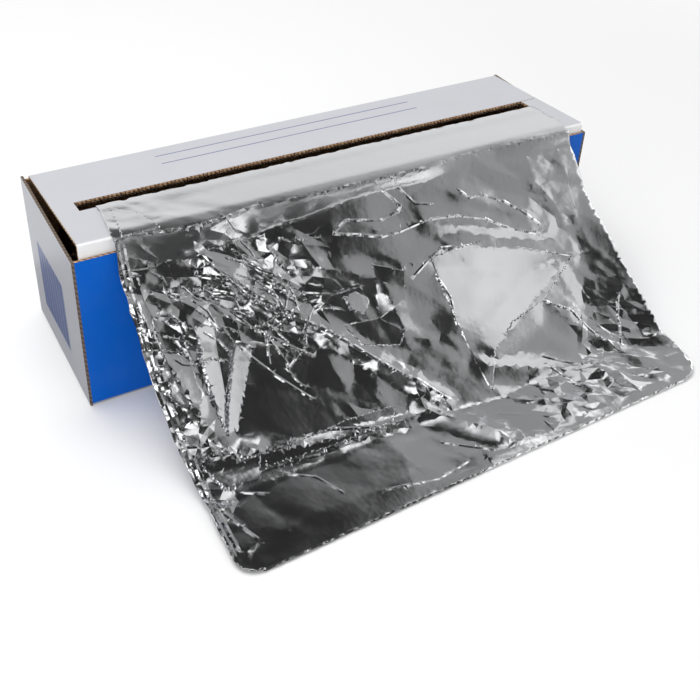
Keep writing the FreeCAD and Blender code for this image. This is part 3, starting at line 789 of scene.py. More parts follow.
@dataclass
class DrawnSheet:
    """The foil drawn from the roll, over the lid's front strip and down to the table."""

    path: SheetPath = SheetPath()
    thickness: float = 0.12
    seed: int = 7
    fine_step: float = 1.7
    calm_step: float = 2.8
    sharp_angle: float = 9.0
    sag: float = 3.0
    grain_angle: float = 38.0
    edge_left: tuple[Point2, ...] = ((-60, -150), (-40, -140), (-27, -139.5), (-16, -141), (0, -143), (70, -143),
                                     (110, -141), (137, -138.5), (160, -139), (176, -139.5))
    edge_right: tuple[Point2, ...] = ((-60, 150), (-40, 149.6), (-27, 151.5), (-10, 151.5), (5, 147.5), (32, 149),
                                      (60, 152), (95, 157), (125, 161), (160, 161), (174, 160.5))
    corner_left: float = 11.0
    corner_right: float = 13.0
    material: bpy.types.Material | None = None
    map: SheetMap = field(init=False)

    def __post_init__(self) -> None:
        """Prepare the map and the source of random numbers."""
        self.map = SheetMap(self.path)
        self.chance = np.random.default_rng(self.seed)

    def busy(self, points: np.ndarray) -> np.ndarray:
        """Share of crumple at each point."""
        share = np.full(len(points), 0.06)
        for patch in PATCHES:
            distance = np.hypot((points[:, 0] - patch.middle[0]) / patch.size[0],
                                (points[:, 1] - patch.middle[1]) / patch.size[1])
            weight = np.clip(2.2 * (1.15 - distance), 0.0, 1.0)
            share = share * (1 - weight) + patch.share * weight
        return share * np.clip((self.map.hem - points[:, 1]) / 4.0, 0.25, 1.0)

    def outline(self) -> list[Point2]:
        """Edge of the flat sheet, with small tears and waves along both sides."""
        hem, end = self.map.hem, self.map.end
        left = [(x, v) for v, x in self.edge_left if self.map.start < v < hem - self.corner_left]
        right = [(x, v) for v, x in self.edge_right if self.map.start < v < hem - self.corner_right]
        turns = np.linspace(0.0, math.pi / 2, 6)
        round_left = [(left[-1][0] + self.corner_left * (1 - math.cos(turn)),
                       hem - self.corner_left * (1 - math.sin(turn))) for turn in turns]
        round_right = [(right[-1][0] - self.corner_right * (1 - math.cos(turn)),
                        hem - self.corner_right * (1 - math.sin(turn))) for turn in turns]
        line = [(self.edge_left[0][1], self.map.start)] + left + round_left
        line += [(round_left[-1][0], end), (round_right[-1][0], end)]
        line += round_right[::-1] + right[::-1] + [(self.edge_right[0][1], self.map.start)]
        waved = []
        for (x0, v0), (x1, v1) in zip(line, line[1:]):
            count = max(1, int(math.hypot(x1 - x0, v1 - v0) / 7))
            side = abs(x1 - x0) < abs(v1 - v0) and -30 < v0 < hem - 1
            for k in range(count):
                shift = self.chance.uniform(-0.7, 0.7) if side and k else 0.0
                waved.append((x0 + (x1 - x0) * k / count + shift, v0 + (v1 - v0) * k / count))
        return waved + [line[-1]]

    def facet_field(self, level: Level) -> tuple[FacetField, list[tuple[Point2, Point2]]]:
        """Strew one level's facets.

        Args:
            level: size and height of the facets.

        Returns:
            The field, and the edges of its facets where they are crumpled enough to show.
        """
        turn = math.radians(self.grain_angle)
        way = np.array([[math.cos(turn), math.sin(turn)], [-math.sin(turn), math.cos(turn)]])
        grain = np.diag([math.sqrt(level.stretch), 1 / math.sqrt(level.stretch)]) @ way
        low, high = (-175.0, self.map.start - 8), (180.0, self.map.end + 8)
        frame_corners = np.array([low, (high[0], low[1]), high, (low[0], high[1])]) @ np.linalg.inv(grain)
        low, high = frame_corners.min(axis=0), frame_corners.max(axis=0)
        points = scatter(self.chance, tuple(low), tuple(high), level.spacing)
        busy = self.busy(points @ grain)
        points = points[busy >= level.starts_at]
        border = [(low[0], low[1]), (high[0], low[1]), (high[0], high[1]), (low[0], high[1])]
        mesh = FlatMesh()
        mesh.add_points(points)
        mesh.add_line(border, level.spacing, closed=True)
        flat, triangles = mesh.triangulate()
        flat = flat @ grain
        busy = self.busy(flat)
        size = level.calm + (level.rough - level.calm) * busy
        heights = self.chance.uniform(-1.0, 1.0, len(flat)) * size
        heights[busy < level.starts_at] = 0.0
        edges = set()
        for a, b, c in triangles:
            edges |= {tuple(sorted(pair)) for pair in ((int(a), int(b)), (int(b), int(c)), (int(c), int(a)))}
        shown = [(tuple(flat[a]), tuple(flat[b])) for a, b in sorted(edges)
                 if max(abs(heights[a]), abs(heights[b])) > 0.12 and np.hypot(*(flat[a] - flat[b])) < 3 * level.spacing
                 and min(flat[a][1], flat[b][1]) > 4]
        return FacetField(flat, heights, triangles), shown

    def fold_heights(self, points: np.ndarray) -> np.ndarray:
        """Height of the broad ridges."""
        height = np.zeros(len(points))
        for fold in FOLDS:
            start, end = self._flat(fold.start), self._flat(fold.end)
            way = end - start
            share = np.clip((points - start) @ way / (way @ way), 0.0, 1.0)
            distance = np.linalg.norm(points - start - share[:, None] * way, axis=1)
            height = np.maximum(height, fold.height * np.clip(1 - distance / fold.half_width, 0, 1) ** 1.35)
        return height

    def plate_field(self) -> tuple[FacetField, list[tuple[Point2, Point2]]]:
        """Lay out the named flat areas.

        Returns:
            The field, and the creases around the areas.
        """
        points, heights, triangles, edges = [], [], [], []
        for plate in PLATES:
            first = len(points)
            flat = [self._flat((x, s)) for x, s, _ in plate.corners]
            points += flat
            heights += [height for _, _, height in plate.corners]
            triangles += [(first, first + k, first + k + 1) for k in range(1, len(flat) - 1)]
            edges += [(tuple(a), tuple(b)) for a, b in zip(flat, flat[1:] + flat[:1])]
        return FacetField(np.array(points), np.array(heights), np.array(triangles)), edges

    def _flat(self, point: Point2) -> np.ndarray:
        """Flat coordinates of a point measured on the draped sheet."""
        x, s = np.array([point[0]], float), np.array([point[1]], float)
        return np.array([x[0], self.map.to_v(x, s)[0]])

    def pinch_lines(self) -> list[tuple[np.ndarray, Pinch]]:
        """Flat lines of the pinches that the sheet shows, and short ones strewn between them."""
        lines = [(np.array([self._flat(p) for p in pinch.points]), pinch) for pinch in PINCHES]
        for _ in range(18):
            start = np.array([self.chance.uniform(-120, -40), self.chance.uniform(20, 90)])
            turn = self.chance.uniform(0, 2 * math.pi)
            line = [start]
            for _ in range(self.chance.integers(2, 6)):
                turn += self.chance.uniform(-0.6, 0.6)
                line.append(line[-1] + self.chance.uniform(4, 10) * np.array([math.cos(turn), math.sin(turn)]))
            pinch = Pinch((), self.chance.uniform(0.25, 0.5), self.chance.uniform(0.7, 0.9))
            lines.append((np.array(line), pinch))
        for _ in range(34):
            start = np.array([self.chance.uniform(-136, -62), self.chance.uniform(22, 70)])
            turn = math.radians(self.grain_angle) + self.chance.uniform(-0.5, 0.5)
            way = np.array([math.cos(turn), math.sin(turn)])
            bend = np.array([-way[1], way[0]]) * self.chance.uniform(-2.5, 2.5)
            length = self.chance.uniform(8, 22)
            line = [start, start + way * length / 2 + bend, start + way * length]
            lines.append((np.array(line), Pinch((), self.chance.uniform(0.3, 0.6), self.chance.uniform(0.6, 0.8))))
        for side in (1.6, 4.2):
            edge = [(x + side, v) for v, x in self.edge_left if 0 <= v < self.map.hem - self.corner_left]
            lines.append((np.array(edge, float), Pinch((), 0.6, 1.4)))
        return lines

    def pinch_heights(self, points: np.ndarray, lines: list[tuple[np.ndarray, Pinch]]) -> np.ndarray:
        """Height of the pinches, which rise and fall like beads along each line."""
        samples: list[tuple[float, float, float, float]] = []
        for line, pinch in lines:
            for (x0, v0), (x1, v1) in zip(line, line[1:]):
                count = max(2, int(math.hypot(x1 - x0, v1 - v0) / 0.35))
                beads = self.chance.uniform(0.25, 1.0, max(2, count // 6))
                rise = np.interp(np.linspace(0, 1, count), np.linspace(0, 1, len(beads)), beads)
                samples += [(x0 + (x1 - x0) * k / count, v0 + (v1 - v0) * k / count,
                             pinch.height * rise[k], pinch.half_width) for k in range(count)]
        tree = KDTree(len(samples))
        for k, (x, v, _, _) in enumerate(samples):
            tree.insert(Vector((x, v, 0.0)), k)
        tree.balance()
        height = np.zeros(len(points))
        for k, (x, v) in enumerate(points):
            _, found, distance = tree.find(Vector((x, v, 0.0)))
            _, _, rise, half_width = samples[found]
            height[k] = rise * max(0.0, 1.0 - distance / half_width)
        return height * np.clip((points[:, 1] - 3) / 7, 0.0, 1.0)

    def beside(self, line: np.ndarray, distance: float) -> np.ndarray:
        """Points along both sides of a line, at that distance from it."""
        found = []
        for start, end in zip(line, line[1:]):
            way = end - start
            length = max(float(np.hypot(*way)), 1e-6)
            across = np.array([-way[1], way[0]]) / length * distance
            for share in np.arange(0.0, 1.0, 0.9 / length):
                found += [start + way * share + across, start + way * share - across]
        return np.array(found)

    def flat_mesh(self, outline: list[Point2], lines: list[tuple[np.ndarray, Pinch]],
                  creases: list[tuple[Point2, Point2]]) -> tuple[np.ndarray, np.ndarray]:
        """Divide the flat sheet into triangles whose edges follow the creases.

        Args:
            outline: the sheet's edge.
            lines: the pinches.
            creases: edges of the facets.

        Returns:
            Points (n, 2) and triangles (m, 3), inside the outline only.
        """
        mesh = FlatMesh()
        mesh.add_line(outline, 1.5, closed=True)
        for line, pinch in lines:
            mesh.add_line([tuple(p) for p in line], 0.9)
            mesh.add_points(self.beside(line, pinch.half_width))
        for start, end in creases:
            mesh.add_line([start, end], 2.8)
        mesh.add_line([(-175.0, self.map.hem), (180.0, self.map.hem)], 2.0)
        low, high = (-170.0, self.map.start), (175.0, self.map.end)
        calm = scatter(self.chance, low, high, self.calm_step)
        fine = scatter(self.chance, low, high, self.fine_step)
        busy = self.busy(fine)
        bent = (fine[:, 1] > -8) & (fine[:, 1] < 24) | (fine[:, 1] > self.map.hem - 4)
        mesh.add_points(fine[(busy > 0.38) | bent])
        busy = self.busy(calm)
        bent = (calm[:, 1] > -8) & (calm[:, 1] < 24) | (calm[:, 1] > self.map.hem - 4)
        mesh.add_points(calm[~((busy > 0.38) | bent)])
        flat, triangles = mesh.triangulate()
        keep = inside(flat[triangles].mean(axis=1), np.array(outline))
        triangles = triangles[keep]
        used, triangles = np.unique(triangles, return_inverse=True)
        return flat[used], triangles.reshape(-1, 3)

    def build(self) -> bpy.types.Object:
        """Make the sheet.

        Returns:
            The sheet as a closed thin mesh.
        """
        outline = self.outline()
        fields, creases = [], []
        for level in LEVELS:
            found, edges = self.facet_field(level)
            fields.append(found)
            creases += edges
        plates, edges = self.plate_field()
        lines = self.pinch_lines() + [(np.array(edge), Pinch((), 0.0, 0.6)) for edge in edges]
        flat, triangles = self.flat_mesh(outline, lines, creases)
        rest = np.where(flat[:, 0] > 5, 6.0, 13.0)
        calm = np.clip(np.minimum((flat[:, 1] + 46) / 20, (self.map.hem - flat[:, 1]) / rest), 0.0, 1.0)
        plate_heights, met = plates.heights(flat)
        height = sum(found.heights(flat)[0] for found in fields) * np.where(met, 0.3, 1.0) + plate_heights + 1.2
        edge = 0.12 + 0.33 * np.clip((-50 - flat[:, 0]) / 30, 0.0, 1.0)
        height = height * (edge + (1 - edge) * np.clip((flat[:, 1] - 2) / 20, 0.0, 1.0))
        height = height + self.fold_heights(flat) + self.pinch_heights(flat, lines)
        free = np.clip(np.minimum(flat[:, 1] - 12, 120 - flat[:, 1]) / 12, 0.0, 1.0)
        height = np.maximum(height, -0.1 - self.sag * free) * calm
        places = self.map.place(flat[:, 0], flat[:, 1], height)
        places[:, 2] = np.maximum(places[:, 2], 0.25)
        mesh = bpy.data.meshes.new("drawn_sheet")
        mesh.from_pydata((places * MM).tolist(), [], triangles[:, [0, 2, 1]].tolist())
        uv = mesh.uv_layers.new(name="sheet")
        loops = np.zeros(len(mesh.loops), int)
        mesh.loops.foreach_get("vertex_index", loops)
        uv.data.foreach_set("uv", (flat[loops] * MM).ravel())
        mesh.shade_smooth()
        mesh.set_sharp_from_angle(angle=math.radians(self.sharp_angle))
        if self.material:
            mesh.materials.append(self.material)
        sheet = bpy.data.objects.new("drawn_sheet", mesh)
        bpy.context.scene.collection.objects.link(sheet)
        shell = sheet.modifiers.new("thickness", "SOLIDIFY")
        shell.thickness = self.thickness * MM
        shell.offset = 0.0
        return plain(sheet)


def plain(piece: bpy.types.Object) -> bpy.types.Object:
    """Turn a piece with modifiers into a plain mesh.

    Args:
        piece: the piece; its modifiers are taken off.

    Returns:
        The same piece.
    """
    evaluated = piece.evaluated_get(bpy.context.evaluated_depsgraph_get())
    mesh = bpy.data.meshes.new_from_object(evaluated)
    mesh.name = piece.name
    piece.modifiers.clear()
    piece.data = mesh
    return piece


@dataclass(frozen=True)
class Glow:
    """A bright or grey card of the studio, as the foil sees it: direction, half angle, soft edge, strength.

    Its cloud is how much of the strength comes and goes in soft clouds.
    """

    direction: tuple[float, float, float]
    half_angle: float
    edge: float
    strength: float
    cloud: float = 0.0


@dataclass
class Studio:
    """Camera, lamps, surroundings and floor."""

    camera_place: tuple[float, float, float] = (-0.2583, -0.4665, 0.3878)
    camera_forward: tuple[float, float, float] = (0.42875, 0.70779, -0.56145)
    camera_roll: float = 2.9
    lens: float = 52.2
    sensor: float = 36.0
    shift_y: float = -0.143
    ambient: float = 0.55
    dark: float = 0.018
    room: float = 0.24
    room_right: float = 0.05
    backdrop: float = 0.84
    backdrop_low: float = 0.53
    backdrop_high: float = 0.46
    white_from: float = 0.30
    white_beyond: float = 0.95
    glows: tuple[Glow, ...] = (
        Glow((-0.14, -0.78, 0.60), 8.0, 3.0, 1.3),
        Glow((0.02, -0.12, 0.99), 10.0, 5.0, 0.9),
        Glow((0.10, -0.97, 0.20), 8.0, 4.0, 0.7),
        Glow((0.84, -0.42, 0.35), 13.0, 6.0, 0.36),
        Glow((-0.72, -0.50, 0.47), 17.0, 6.0, 3.0, 0.88),
        Glow((0.97, 0.10, 0.20), 14.0, 7.0, 1.3),
        Glow((0.46, 0.12, 0.88), 6.0, 3.0, 0.9),
        Glow((0.39, 0.60, 0.70), 5.0, 3.0, 0.09),
        Glow((-0.42, 0.12, 0.90), 19.0, 11.0, 0.42),
    )

    def camera(self) -> None:
        """Set the camera at the photograph's angle."""
        forward = Vector(self.camera_forward).normalized()
        right = forward.cross(Vector((0, 0, 1))).normalized()
        up = right.cross(forward)
        turn = math.radians(self.camera_roll)
        side = right * math.cos(turn) + up * math.sin(turn)
        top = up * math.cos(turn) - right * math.sin(turn)
        data = bpy.data.cameras.new("camera")
        data.lens = self.lens
        data.sensor_width = self.sensor
        data.shift_y = self.shift_y
        data.clip_start = 0.02
        camera = bpy.data.objects.new("camera", data)
        rotation = Matrix((side, top, -forward)).transposed().to_4x4()
        camera.matrix_world = Matrix.Translation(self.camera_place) @ rotation
        bpy.context.scene.collection.objects.link(camera)
        bpy.context.scene.camera = camera

    def world(self) -> None:
        """Surround the object: white for the camera, cards and dark for the foil, plain light for the rest."""
        world = bpy.data.worlds.new("studio")
        bpy.context.scene.world = world
        world.use_nodes = True
        world.node_tree.nodes.clear()
        graph = Graph(world.node_tree)
        way = graph.add("ShaderNodeTexCoord").outputs["Generated"]
        parts = graph.add("ShaderNodeSeparateXYZ", {0: way})
        low = graph.ramp(parts.outputs["Z"], self.backdrop_low, self.backdrop_high)
        behind = graph.ramp(parts.outputs["Y"], 0.0, 0.3)
        wall = graph.math("MULTIPLY", low, behind)
        side = graph.math("MULTIPLY_ADD", graph.ramp(parts.outputs["X"], 0.36, 0.46), self.room, self.dark)
        side = graph.math("MULTIPLY_ADD", graph.ramp(parts.outputs["X"], 0.48, 0.68), self.room_right, side)
        side = graph.math("MULTIPLY", side, graph.math("SUBTRACT", 1.0, wall))
        total: object = graph.math("MULTIPLY_ADD", wall, self.backdrop, side)
        for glow in self.glows:
            towards = Vector(glow.direction).normalized()
            facing = graph.add("ShaderNodeVectorMath", {0: way, 1: tuple(towards)}, operation="DOT_PRODUCT")
            low = math.cos(math.radians(glow.half_angle + glow.edge))
            high = math.cos(math.radians(glow.half_angle - glow.edge))
            share = graph.ramp(facing.outputs["Value"], low, high)
            if glow.cloud:
                clouds = graph.ramp(graph.noise(way, 7.0, 3.0, 0.6), 0.38, 0.66)
                clouds = graph.math("MULTIPLY_ADD", clouds, glow.cloud, 1.0 - glow.cloud)
                share = graph.math("MULTIPLY", share, clouds)
            total = graph.math("MULTIPLY_ADD", share, glow.strength, total)
        path = graph.add("ShaderNodeLightPath")
        glossy = graph.add("ShaderNodeBackground", {"Strength": total})
        diffuse = graph.add("ShaderNodeBackground", {"Strength": self.ambient})
        seen = graph.add("ShaderNodeBackground", {"Strength": 1.0})
        for node in (glossy, diffuse, seen):
            node.inputs["Color"].default_value = (1.0, 1.0, 1.0, 1.0)
        lit = graph.add("ShaderNodeMixShader", {0: path.outputs["Is Glossy Ray"], 1: diffuse.outputs[0],
                                                2: glossy.outputs[0]})
        shown = graph.add("ShaderNodeMixShader", {0: path.outputs["Is Camera Ray"], 1: lit.outputs[0],
                                                  2: seen.outputs[0]})
        output = graph.add("ShaderNodeOutputWorld")
        graph.feed(output.inputs[0], shown.outputs[0])

    def lamp(self, name: str, place: tuple[float, float, float], size: float, power: float) -> None:
        """Hang a soft square lamp that faces the object and that the foil doesn't mirror."""
        data = bpy.data.lights.new(name, "AREA")
        data.size = size
        data.energy = power
        lamp = bpy.data.objects.new(name, data)
        lamp.location = place
        lamp.rotation_euler = (Vector((0.0, -0.05, 0.04)) - Vector(place)).to_track_quat("-Z", "Y").to_euler()
        lamp.visible_glossy = False
        bpy.context.scene.collection.objects.link(lamp)

    def floor(self) -> None:
        """Lay the plain pale floor, white to the camera, with the object's shadow."""
        mesh = bpy.data.meshes.new("floor")
        reach = 6.0
        corners = [(-reach, -reach, 0), (reach, -reach, 0), (reach, reach, 0), (-reach, reach, 0)]
        mesh.from_pydata(corners, [], [(0, 1, 2, 3)])
        material, graph, shader = new_material("floor_white")
        graph.tree.nodes.remove(shader)
        plain_white = graph.add("ShaderNodeBsdfDiffuse", {"Color": (0.88, 0.88, 0.88, 1.0)})
        distant_white = graph.add("ShaderNodeEmission", {"Color": (1.0, 1.0, 1.0, 1.0), "Strength": 1.0})
        metres = graph.add("ShaderNodeTexCoord").outputs["Object"]
        reach_out = graph.add("ShaderNodeVectorMath", {0: metres}, operation="LENGTH").outputs["Value"]
        far = graph.ramp(reach_out, self.white_from, self.white_beyond)
        seen = graph.math("MULTIPLY", far, graph.add("ShaderNodeLightPath").outputs["Is Camera Ray"])
        joined = graph.add("ShaderNodeMixShader", {0: seen, 1: plain_white.outputs[0], 2: distant_white.outputs[0]})
        output = next(node for node in graph.tree.nodes if node.type == "OUTPUT_MATERIAL")
        graph.feed(output.inputs["Surface"], joined.outputs[0])
        mesh.materials.append(material)
        floor = bpy.data.objects.new("floor", mesh)
        bpy.context.scene.collection.objects.link(floor)

    def card(self, name: str, corners: Sequence[Sequence[float]], strength: float, cloud: float = 0.0) -> None:
        """Hold a card near the object that only the foil's reflections show.

        Args:
            name: the card's name.
            corners: its corners, in metres.
            strength: how bright it looks.
            cloud: how much of that comes and goes in soft clouds.
        """
        mesh = bpy.data.meshes.new(name)
        mesh.from_pydata(corners, [], [range(len(corners))])
        material, graph, shader = new_material(name)
        shader.inputs["Base Color"].default_value = (0.03, 0.03, 0.03, 1.0)
        shader.inputs["Roughness"].default_value = 1.0
        shader.inputs["Emission Color"].default_value = (1.0, 1.0, 1.0, 1.0)
        metres = graph.add("ShaderNodeTexCoord").outputs["Object"]
        clouds = graph.ramp(graph.noise(metres, 38.0, 4.0, 0.6), 0.3, 0.62)
        glow = graph.math("MULTIPLY_ADD", clouds, strength * cloud, strength * (1 - cloud))
        graph.feed(shader.inputs["Emission Strength"], glow)
        mesh.materials.append(material)
        card = bpy.data.objects.new(name, mesh)
        card.visible_camera = False
        card.visible_diffuse = False
        card.visible_shadow = False
        card.visible_transmission = False
        bpy.context.scene.collection.objects.link(card)

    def build(self) -> None:
        """Set up the whole studio."""
        bpy.context.scene.view_settings.view_transform = "Standard"
        self.camera()
        self.world()
        self.lamp("key", (-0.25, 0.25, 1.5), 1.1, 14.0)
        self.lamp("fill", (-0.9, -0.9, 0.9), 1.2, 7.0)
        self.floor()
        self.card("dark_card", [(-1.4, -1.6, 0.0002), (0.35, -1.6, 0.0002), (0.35, -0.5, 0.0002), (0.0, -0.24, 0.0002),
                                (0.0, 0.1, 0.0002), (-1.4, 0.1, 0.0002)], 0.0)
        self.card("pale_card", [(0.0728, -0.1400, 0.1086), (0.1022, -0.1219, 0.0979), (0.1472, -0.1183, 0.0629),
                                (0.1265, -0.1399, 0.0637), (0.1068, -0.1522, 0.0707), (0.0920, -0.1629, 0.0749)], 0.72,
                  0.5)


class GeometryTree:
    """Builds a Geometry Nodes tree with named inputs and turns its result into a plain mesh."""

    def __init__(self, name: str, sizes: dict[str, float]) -> None:
        """Start the tree.

        Args:
            name: the tree's name.
            sizes: its named inputs and their values, in metres or as counts.
        """
        self.tree = bpy.data.node_groups.new(name, "GeometryNodeTree")
        self.graph = Graph(self.tree)
        self.sizes = sizes
        self.tree.interface.new_socket("Geometry", in_out="INPUT", socket_type="NodeSocketGeometry")
        for label, value in sizes.items():
            kind = "NodeSocketInt" if isinstance(value, int) else "NodeSocketFloat"
            self.tree.interface.new_socket(label, in_out="INPUT", socket_type=kind)
        self.tree.interface.new_socket("Geometry", in_out="OUTPUT", socket_type="NodeSocketGeometry")
        self.source = self.graph.add("NodeGroupInput")

    def size(self, label: str) -> Socket:
        """Socket of a named input."""
        return self.source.outputs[label]

    def vector(self, x: object = 0.0, y: object = 0.0, z: object = 0.0) -> Socket:
        """Vector of three values or sockets."""
        return self.graph.add("ShaderNodeCombineXYZ", {0: x, 1: y, 2: z}).outputs[0]

    def repeat(self, points: Socket, shape: Socket, rotation: object = (0.0, 0.0, 0.0),
               scale: object = (1.0, 1.0, 1.0)) -> Socket:
        """Instances of a shape on points."""
        node = self.graph.add("GeometryNodeInstanceOnPoints", {"Points": points, "Instance": shape})
        self.graph.feed(node.inputs["Rotation"], rotation)
        self.graph.feed(node.inputs["Scale"], scale)
        return node.outputs[0]

    def join(self, *parts: Socket) -> Socket:
        """Several geometries as one."""
        node = self.graph.add("GeometryNodeJoinGeometry")
        for part in parts:
            self.tree.links.new(part, node.inputs[0])
        return node.outputs[0]

    def finish(self, piece: bpy.types.Object, geometry: Socket, material: bpy.types.Material) -> bpy.types.Object:
        """End the tree, run it on the piece and keep the result as a plain mesh.

        Args:
            piece: the piece whose mesh goes in.
            geometry: what the tree has made.
            material: the finish of the result.

        Returns:
            The piece.
        """
        real = self.graph.add("GeometryNodeRealizeInstances", {0: geometry})
        dressed = self.graph.add("GeometryNodeSetMaterial", {"Geometry": real.outputs[0], "Material": material})
        output = self.graph.add("NodeGroupOutput")
        self.graph.feed(output.inputs[0], dressed.outputs[0])
        modifier = piece.modifiers.new("build", "NODES")
        modifier.node_group = self.tree
        for item in self.tree.interface.items_tree:
            if item.item_type == "SOCKET" and item.in_out == "INPUT" and item.name in self.sizes:
                modifier[item.identifier] = self.sizes[item.name]
        give(plain(piece), material)
        return piece


def mesh_piece(name: str, corners: Sequence[Sequence[float]], faces: Sequence[Sequence[int]],
               edges: Sequence[Sequence[int]] = ()) -> bpy.types.Object:
    """Make an object from corners in millimetres."""
    mesh = bpy.data.meshes.new(name)
    mesh.from_pydata([tuple(c * MM for c in corner) for corner in corners], list(edges), list(faces))
    piece = bpy.data.objects.new(name, mesh)
    bpy.context.scene.collection.objects.link(piece)
    return piece


@dataclass
class CutterStrip:
    """Serrated steel strip, glued under the slot's rear edge, in millimetres."""

    material: bpy.types.Material
    lid: LidShape = LidShape()
    slot_rear: float = 1.0
    width: float = 12.0
    thickness: float = 0.4
    glue_line: float = 0.1
    reach: float = 148.0
    pitch: float = 2.0
    tooth: float = 2.0

    def top(self, x: float, y: float) -> float:
        """Height of the strip's upper face."""
        return float(self.lid.under_z(x, y)) - self.glue_line

    def build(self) -> bpy.types.Object:
        """Make the strip: a slab that follows the lid, and its teeth set in a row."""
        corners, faces = [], []
        count = 24
        for k in range(count + 1):
            x = -self.reach + 2 * self.reach * k / count
            for y, drop in ((self.slot_rear, 0.0), (self.slot_rear + self.width, 0.0),
                            (self.slot_rear + self.width, self.thickness), (self.slot_rear, self.thickness)):
                corners.append((x, y, self.top(x, y) - drop))
        for k in range(count):
            a, b = 4 * k, 4 * k + 4
            faces += [(a + j, a + (j + 1) % 4, b + (j + 1) % 4, b + j) for j in range(4)]
        faces += [(3, 2, 1, 0), (4 * count, 4 * count + 1, 4 * count + 2, 4 * count + 3)]
        slab = mesh_piece("cutter_teeth", corners, [face[::-1] for face in faces])
        teeth = round(2 * self.reach / self.pitch)
        pitch = 2 * self.reach / teeth
        first = self.top(-self.reach, self.slot_rear)
        last = self.top(self.reach, self.slot_rear)
        tree = GeometryTree("strip_teeth", {
            "Teeth": teeth, "Pitch": pitch * MM, "Tooth": self.tooth * MM, "Thickness": self.thickness * MM,
            "Start": (-self.reach + pitch / 2) * MM, "Edge": self.slot_rear * MM,
            "Height": (first - self.thickness / 2) * MM, "Fall": (last - first) / (2 * self.reach)})
        graph = tree.graph
        offset = tree.vector(tree.size("Pitch"), 0.0, graph.math("MULTIPLY", tree.size("Pitch"), tree.size("Fall")))
        start = tree.vector(tree.size("Start"), tree.size("Edge"), tree.size("Height"))
        row = graph.add("GeometryNodeMeshLine", {"Count": tree.size("Teeth"), "Start Location": start,
                                                 "Offset": offset}, mode="OFFSET")
        cone = graph.add("GeometryNodeMeshCone", {"Vertices": 4, "Radius Top": 0.02, "Radius Bottom": 0.7071,
                                                  "Depth": 1.0})
        squared = graph.add("GeometryNodeTransform", {"Geometry": cone.outputs["Mesh"],
                                                      "Rotation": (0.0, 0.0, math.pi / 4)})
        laid = graph.add("GeometryNodeTransform", {"Geometry": squared.outputs[0], "Rotation": (math.pi / 2, 0.0, 0.0)})
        size = tree.vector(tree.size("Pitch"), tree.size("Tooth"), tree.size("Thickness"))
        teeth_row = tree.repeat(row.outputs[0], laid.outputs[0], scale=size)
        return tree.finish(slab, tree.join(tree.size("Geometry"), teeth_row), self.material)


@dataclass
class SlotNicks:
    """Torn nicks of board left along the slot where its perforations were, in millimetres."""

    material: bpy.types.Material
    lid: LidShape = LidShape()
    left: float = -148.5
    right: float = 150.4
    rear: float = 1.0
    pitch: float = 2.4
    nick: tuple[float, float, float] = (1.5, 1.3, 1.3)

    def build(self) -> bpy.types.Object:
        """Make the row of nicks along the slot's rear edge."""
        piece = mesh_piece("slot_nicks", [(0, 0, 0)], [])
        count = int((self.right - self.left - 4) / self.pitch)
        first, last = self.lid.top_z(self.left + 2, self.rear), self.lid.top_z(self.right - 2, self.rear)
        tree = GeometryTree("slot_nick_row", {
            "Nicks": count, "Pitch": self.pitch * MM, "Start": (self.left + 2 + self.pitch / 2) * MM,
            "Edge": (self.rear - self.nick[1] / 2) * MM, "Height": (first - self.lid.board / 2) * MM,
            "Fall": (last - first) / (self.right - self.left - 4), "Nick Length": self.nick[0] * MM,
            "Nick Depth": self.nick[1] * MM, "Nick Height": self.nick[2] * MM, "Seed": 3})
        graph = tree.graph
        offset = tree.vector(tree.size("Pitch"), 0.0, graph.math("MULTIPLY", tree.size("Pitch"), tree.size("Fall")))
        start = tree.vector(tree.size("Start"), tree.size("Edge"), tree.size("Height"))
        row = graph.add("GeometryNodeMeshLine", {"Count": tree.size("Nicks"), "Start Location": start,
                                                 "Offset": offset}, mode="OFFSET")
        block = graph.add("GeometryNodeMeshCube", {"Size": tree.vector(tree.size("Nick Length"),
                                                                       tree.size("Nick Depth"),
                                                                       tree.size("Nick Height"))})
        vary = graph.add("FunctionNodeRandomValue", {"Seed": tree.size("Seed")}, data_type="FLOAT_VECTOR")
        vary.inputs[0].default_value = (0.7, 0.6, 0.85)
        vary.inputs[1].default_value = (1.15, 1.0, 1.0)
        nicks = tree.repeat(row.outputs[0], block.outputs[0], scale=vary.outputs[0])
        return tree.finish(piece, nicks, self.material)


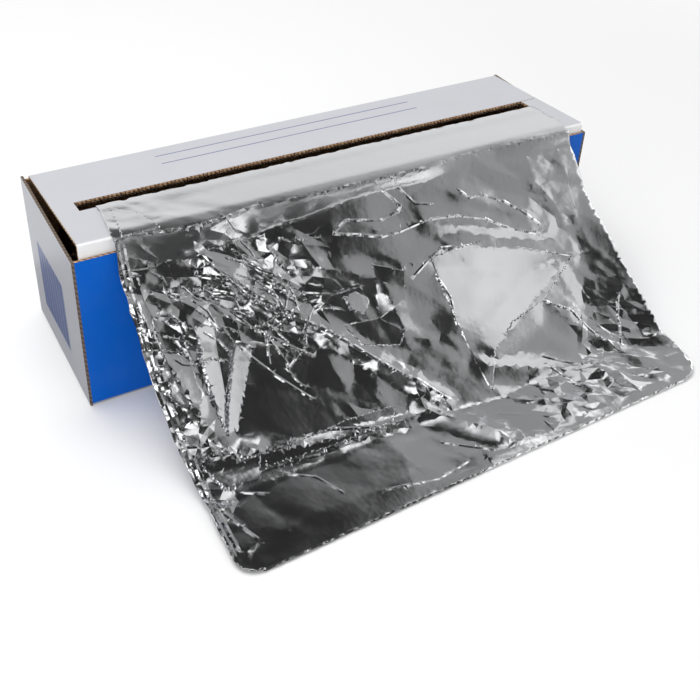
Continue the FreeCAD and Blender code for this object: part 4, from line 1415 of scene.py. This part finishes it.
@dataclass
class WoundRoll:
    """Wound foil, with the edges of its turns at both ends, in millimetres."""

    material: bpy.types.Material
    radius: float = 42.0
    bore: float = 20.6
    axis_z: float = 43.9
    half: float = 150.0
    segments: int = 120
    turns: int = 36
    turn_depth: float = 0.35

    def build(self) -> bpy.types.Object:
        """Make the roll: a ring whose end faces step from turn to turn."""
        radii = np.linspace(self.bore, self.radius - 0.05, self.turns)
        end = [(r, self.half - (self.turn_depth if k % 2 else 0.0)) for k, r in enumerate(radii)]
        outline = end + [(r, -x) for r, x in reversed(end)]
        corners, faces = [], []
        for k in range(self.segments):
            angle = 2 * math.pi * k / self.segments
            corners += [(x, r * math.cos(angle), self.axis_z + r * math.sin(angle)) for r, x in outline]
        count = len(outline)
        for k in range(self.segments):
            a, b = k * count, (k + 1) % self.segments * count
            faces += [(a + j, a + (j + 1) % count, b + (j + 1) % count, b + j) for j in range(count)]
        roll = mesh_piece("wound_foil", corners, faces)
        uv = roll.data.uv_layers.new(name="sheet")
        for loop in roll.data.loops:
            place = roll.data.vertices[loop.vertex_index].co
            turn = math.atan2(place.z - self.axis_z * MM, place.y)
            uv.data[loop.index].uv = (place.x, turn * self.radius * MM)
        roll.data.shade_smooth()
        roll.data.set_sharp_from_angle(angle=math.radians(25))
        roll.data.materials.append(self.material)
        return roll


@dataclass
class Carton:
    """The carton's panels, dressed as the CAD made them."""

    finish: BoardFinish = BoardFinish()

    def build(self) -> None:
        """Give each panel its board."""
        for panel in Panel:
            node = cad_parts[panel.value]
            give(node, self.finish.build(panel))


def give(piece: bpy.types.Object, material: bpy.types.Material) -> None:
    """Put one material on a piece, and no other."""
    piece.data.materials.clear()
    piece.data.materials.append(material)
    LOG.info("%s: finish %s", piece.name, material.name)


def dress(piece: bpy.types.Object) -> None:
    """Let a piece ride with the carton, and log how many faces it has."""
    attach(piece, ROOT)
    LOG.info("%s: %d faces", piece.name, len(piece.data.polygons))


def main() -> None:
    """Build the object's pieces and the studio in order."""
    logging.basicConfig(level=logging.INFO, format="%(name)s: %(message)s")
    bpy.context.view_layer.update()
    foil = FoilFinish().build()
    Studio().build()
    Carton().build()
    nicks = SlotNicks(BoardFinish().build(Panel.BASE)).build()
    dress(nicks)
    give(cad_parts["core_tube"], TubeFinish().build())
    strip = CutterStrip(SteelFinish().build()).build()
    dress(strip)
    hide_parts("cutter_strip")
    roll = WoundRoll(foil).build()
    dress(roll)
    sheet = DrawnSheet(material=foil).build()
    dress(sheet)
    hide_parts("foil")


if __name__ == "__main__":
    main()
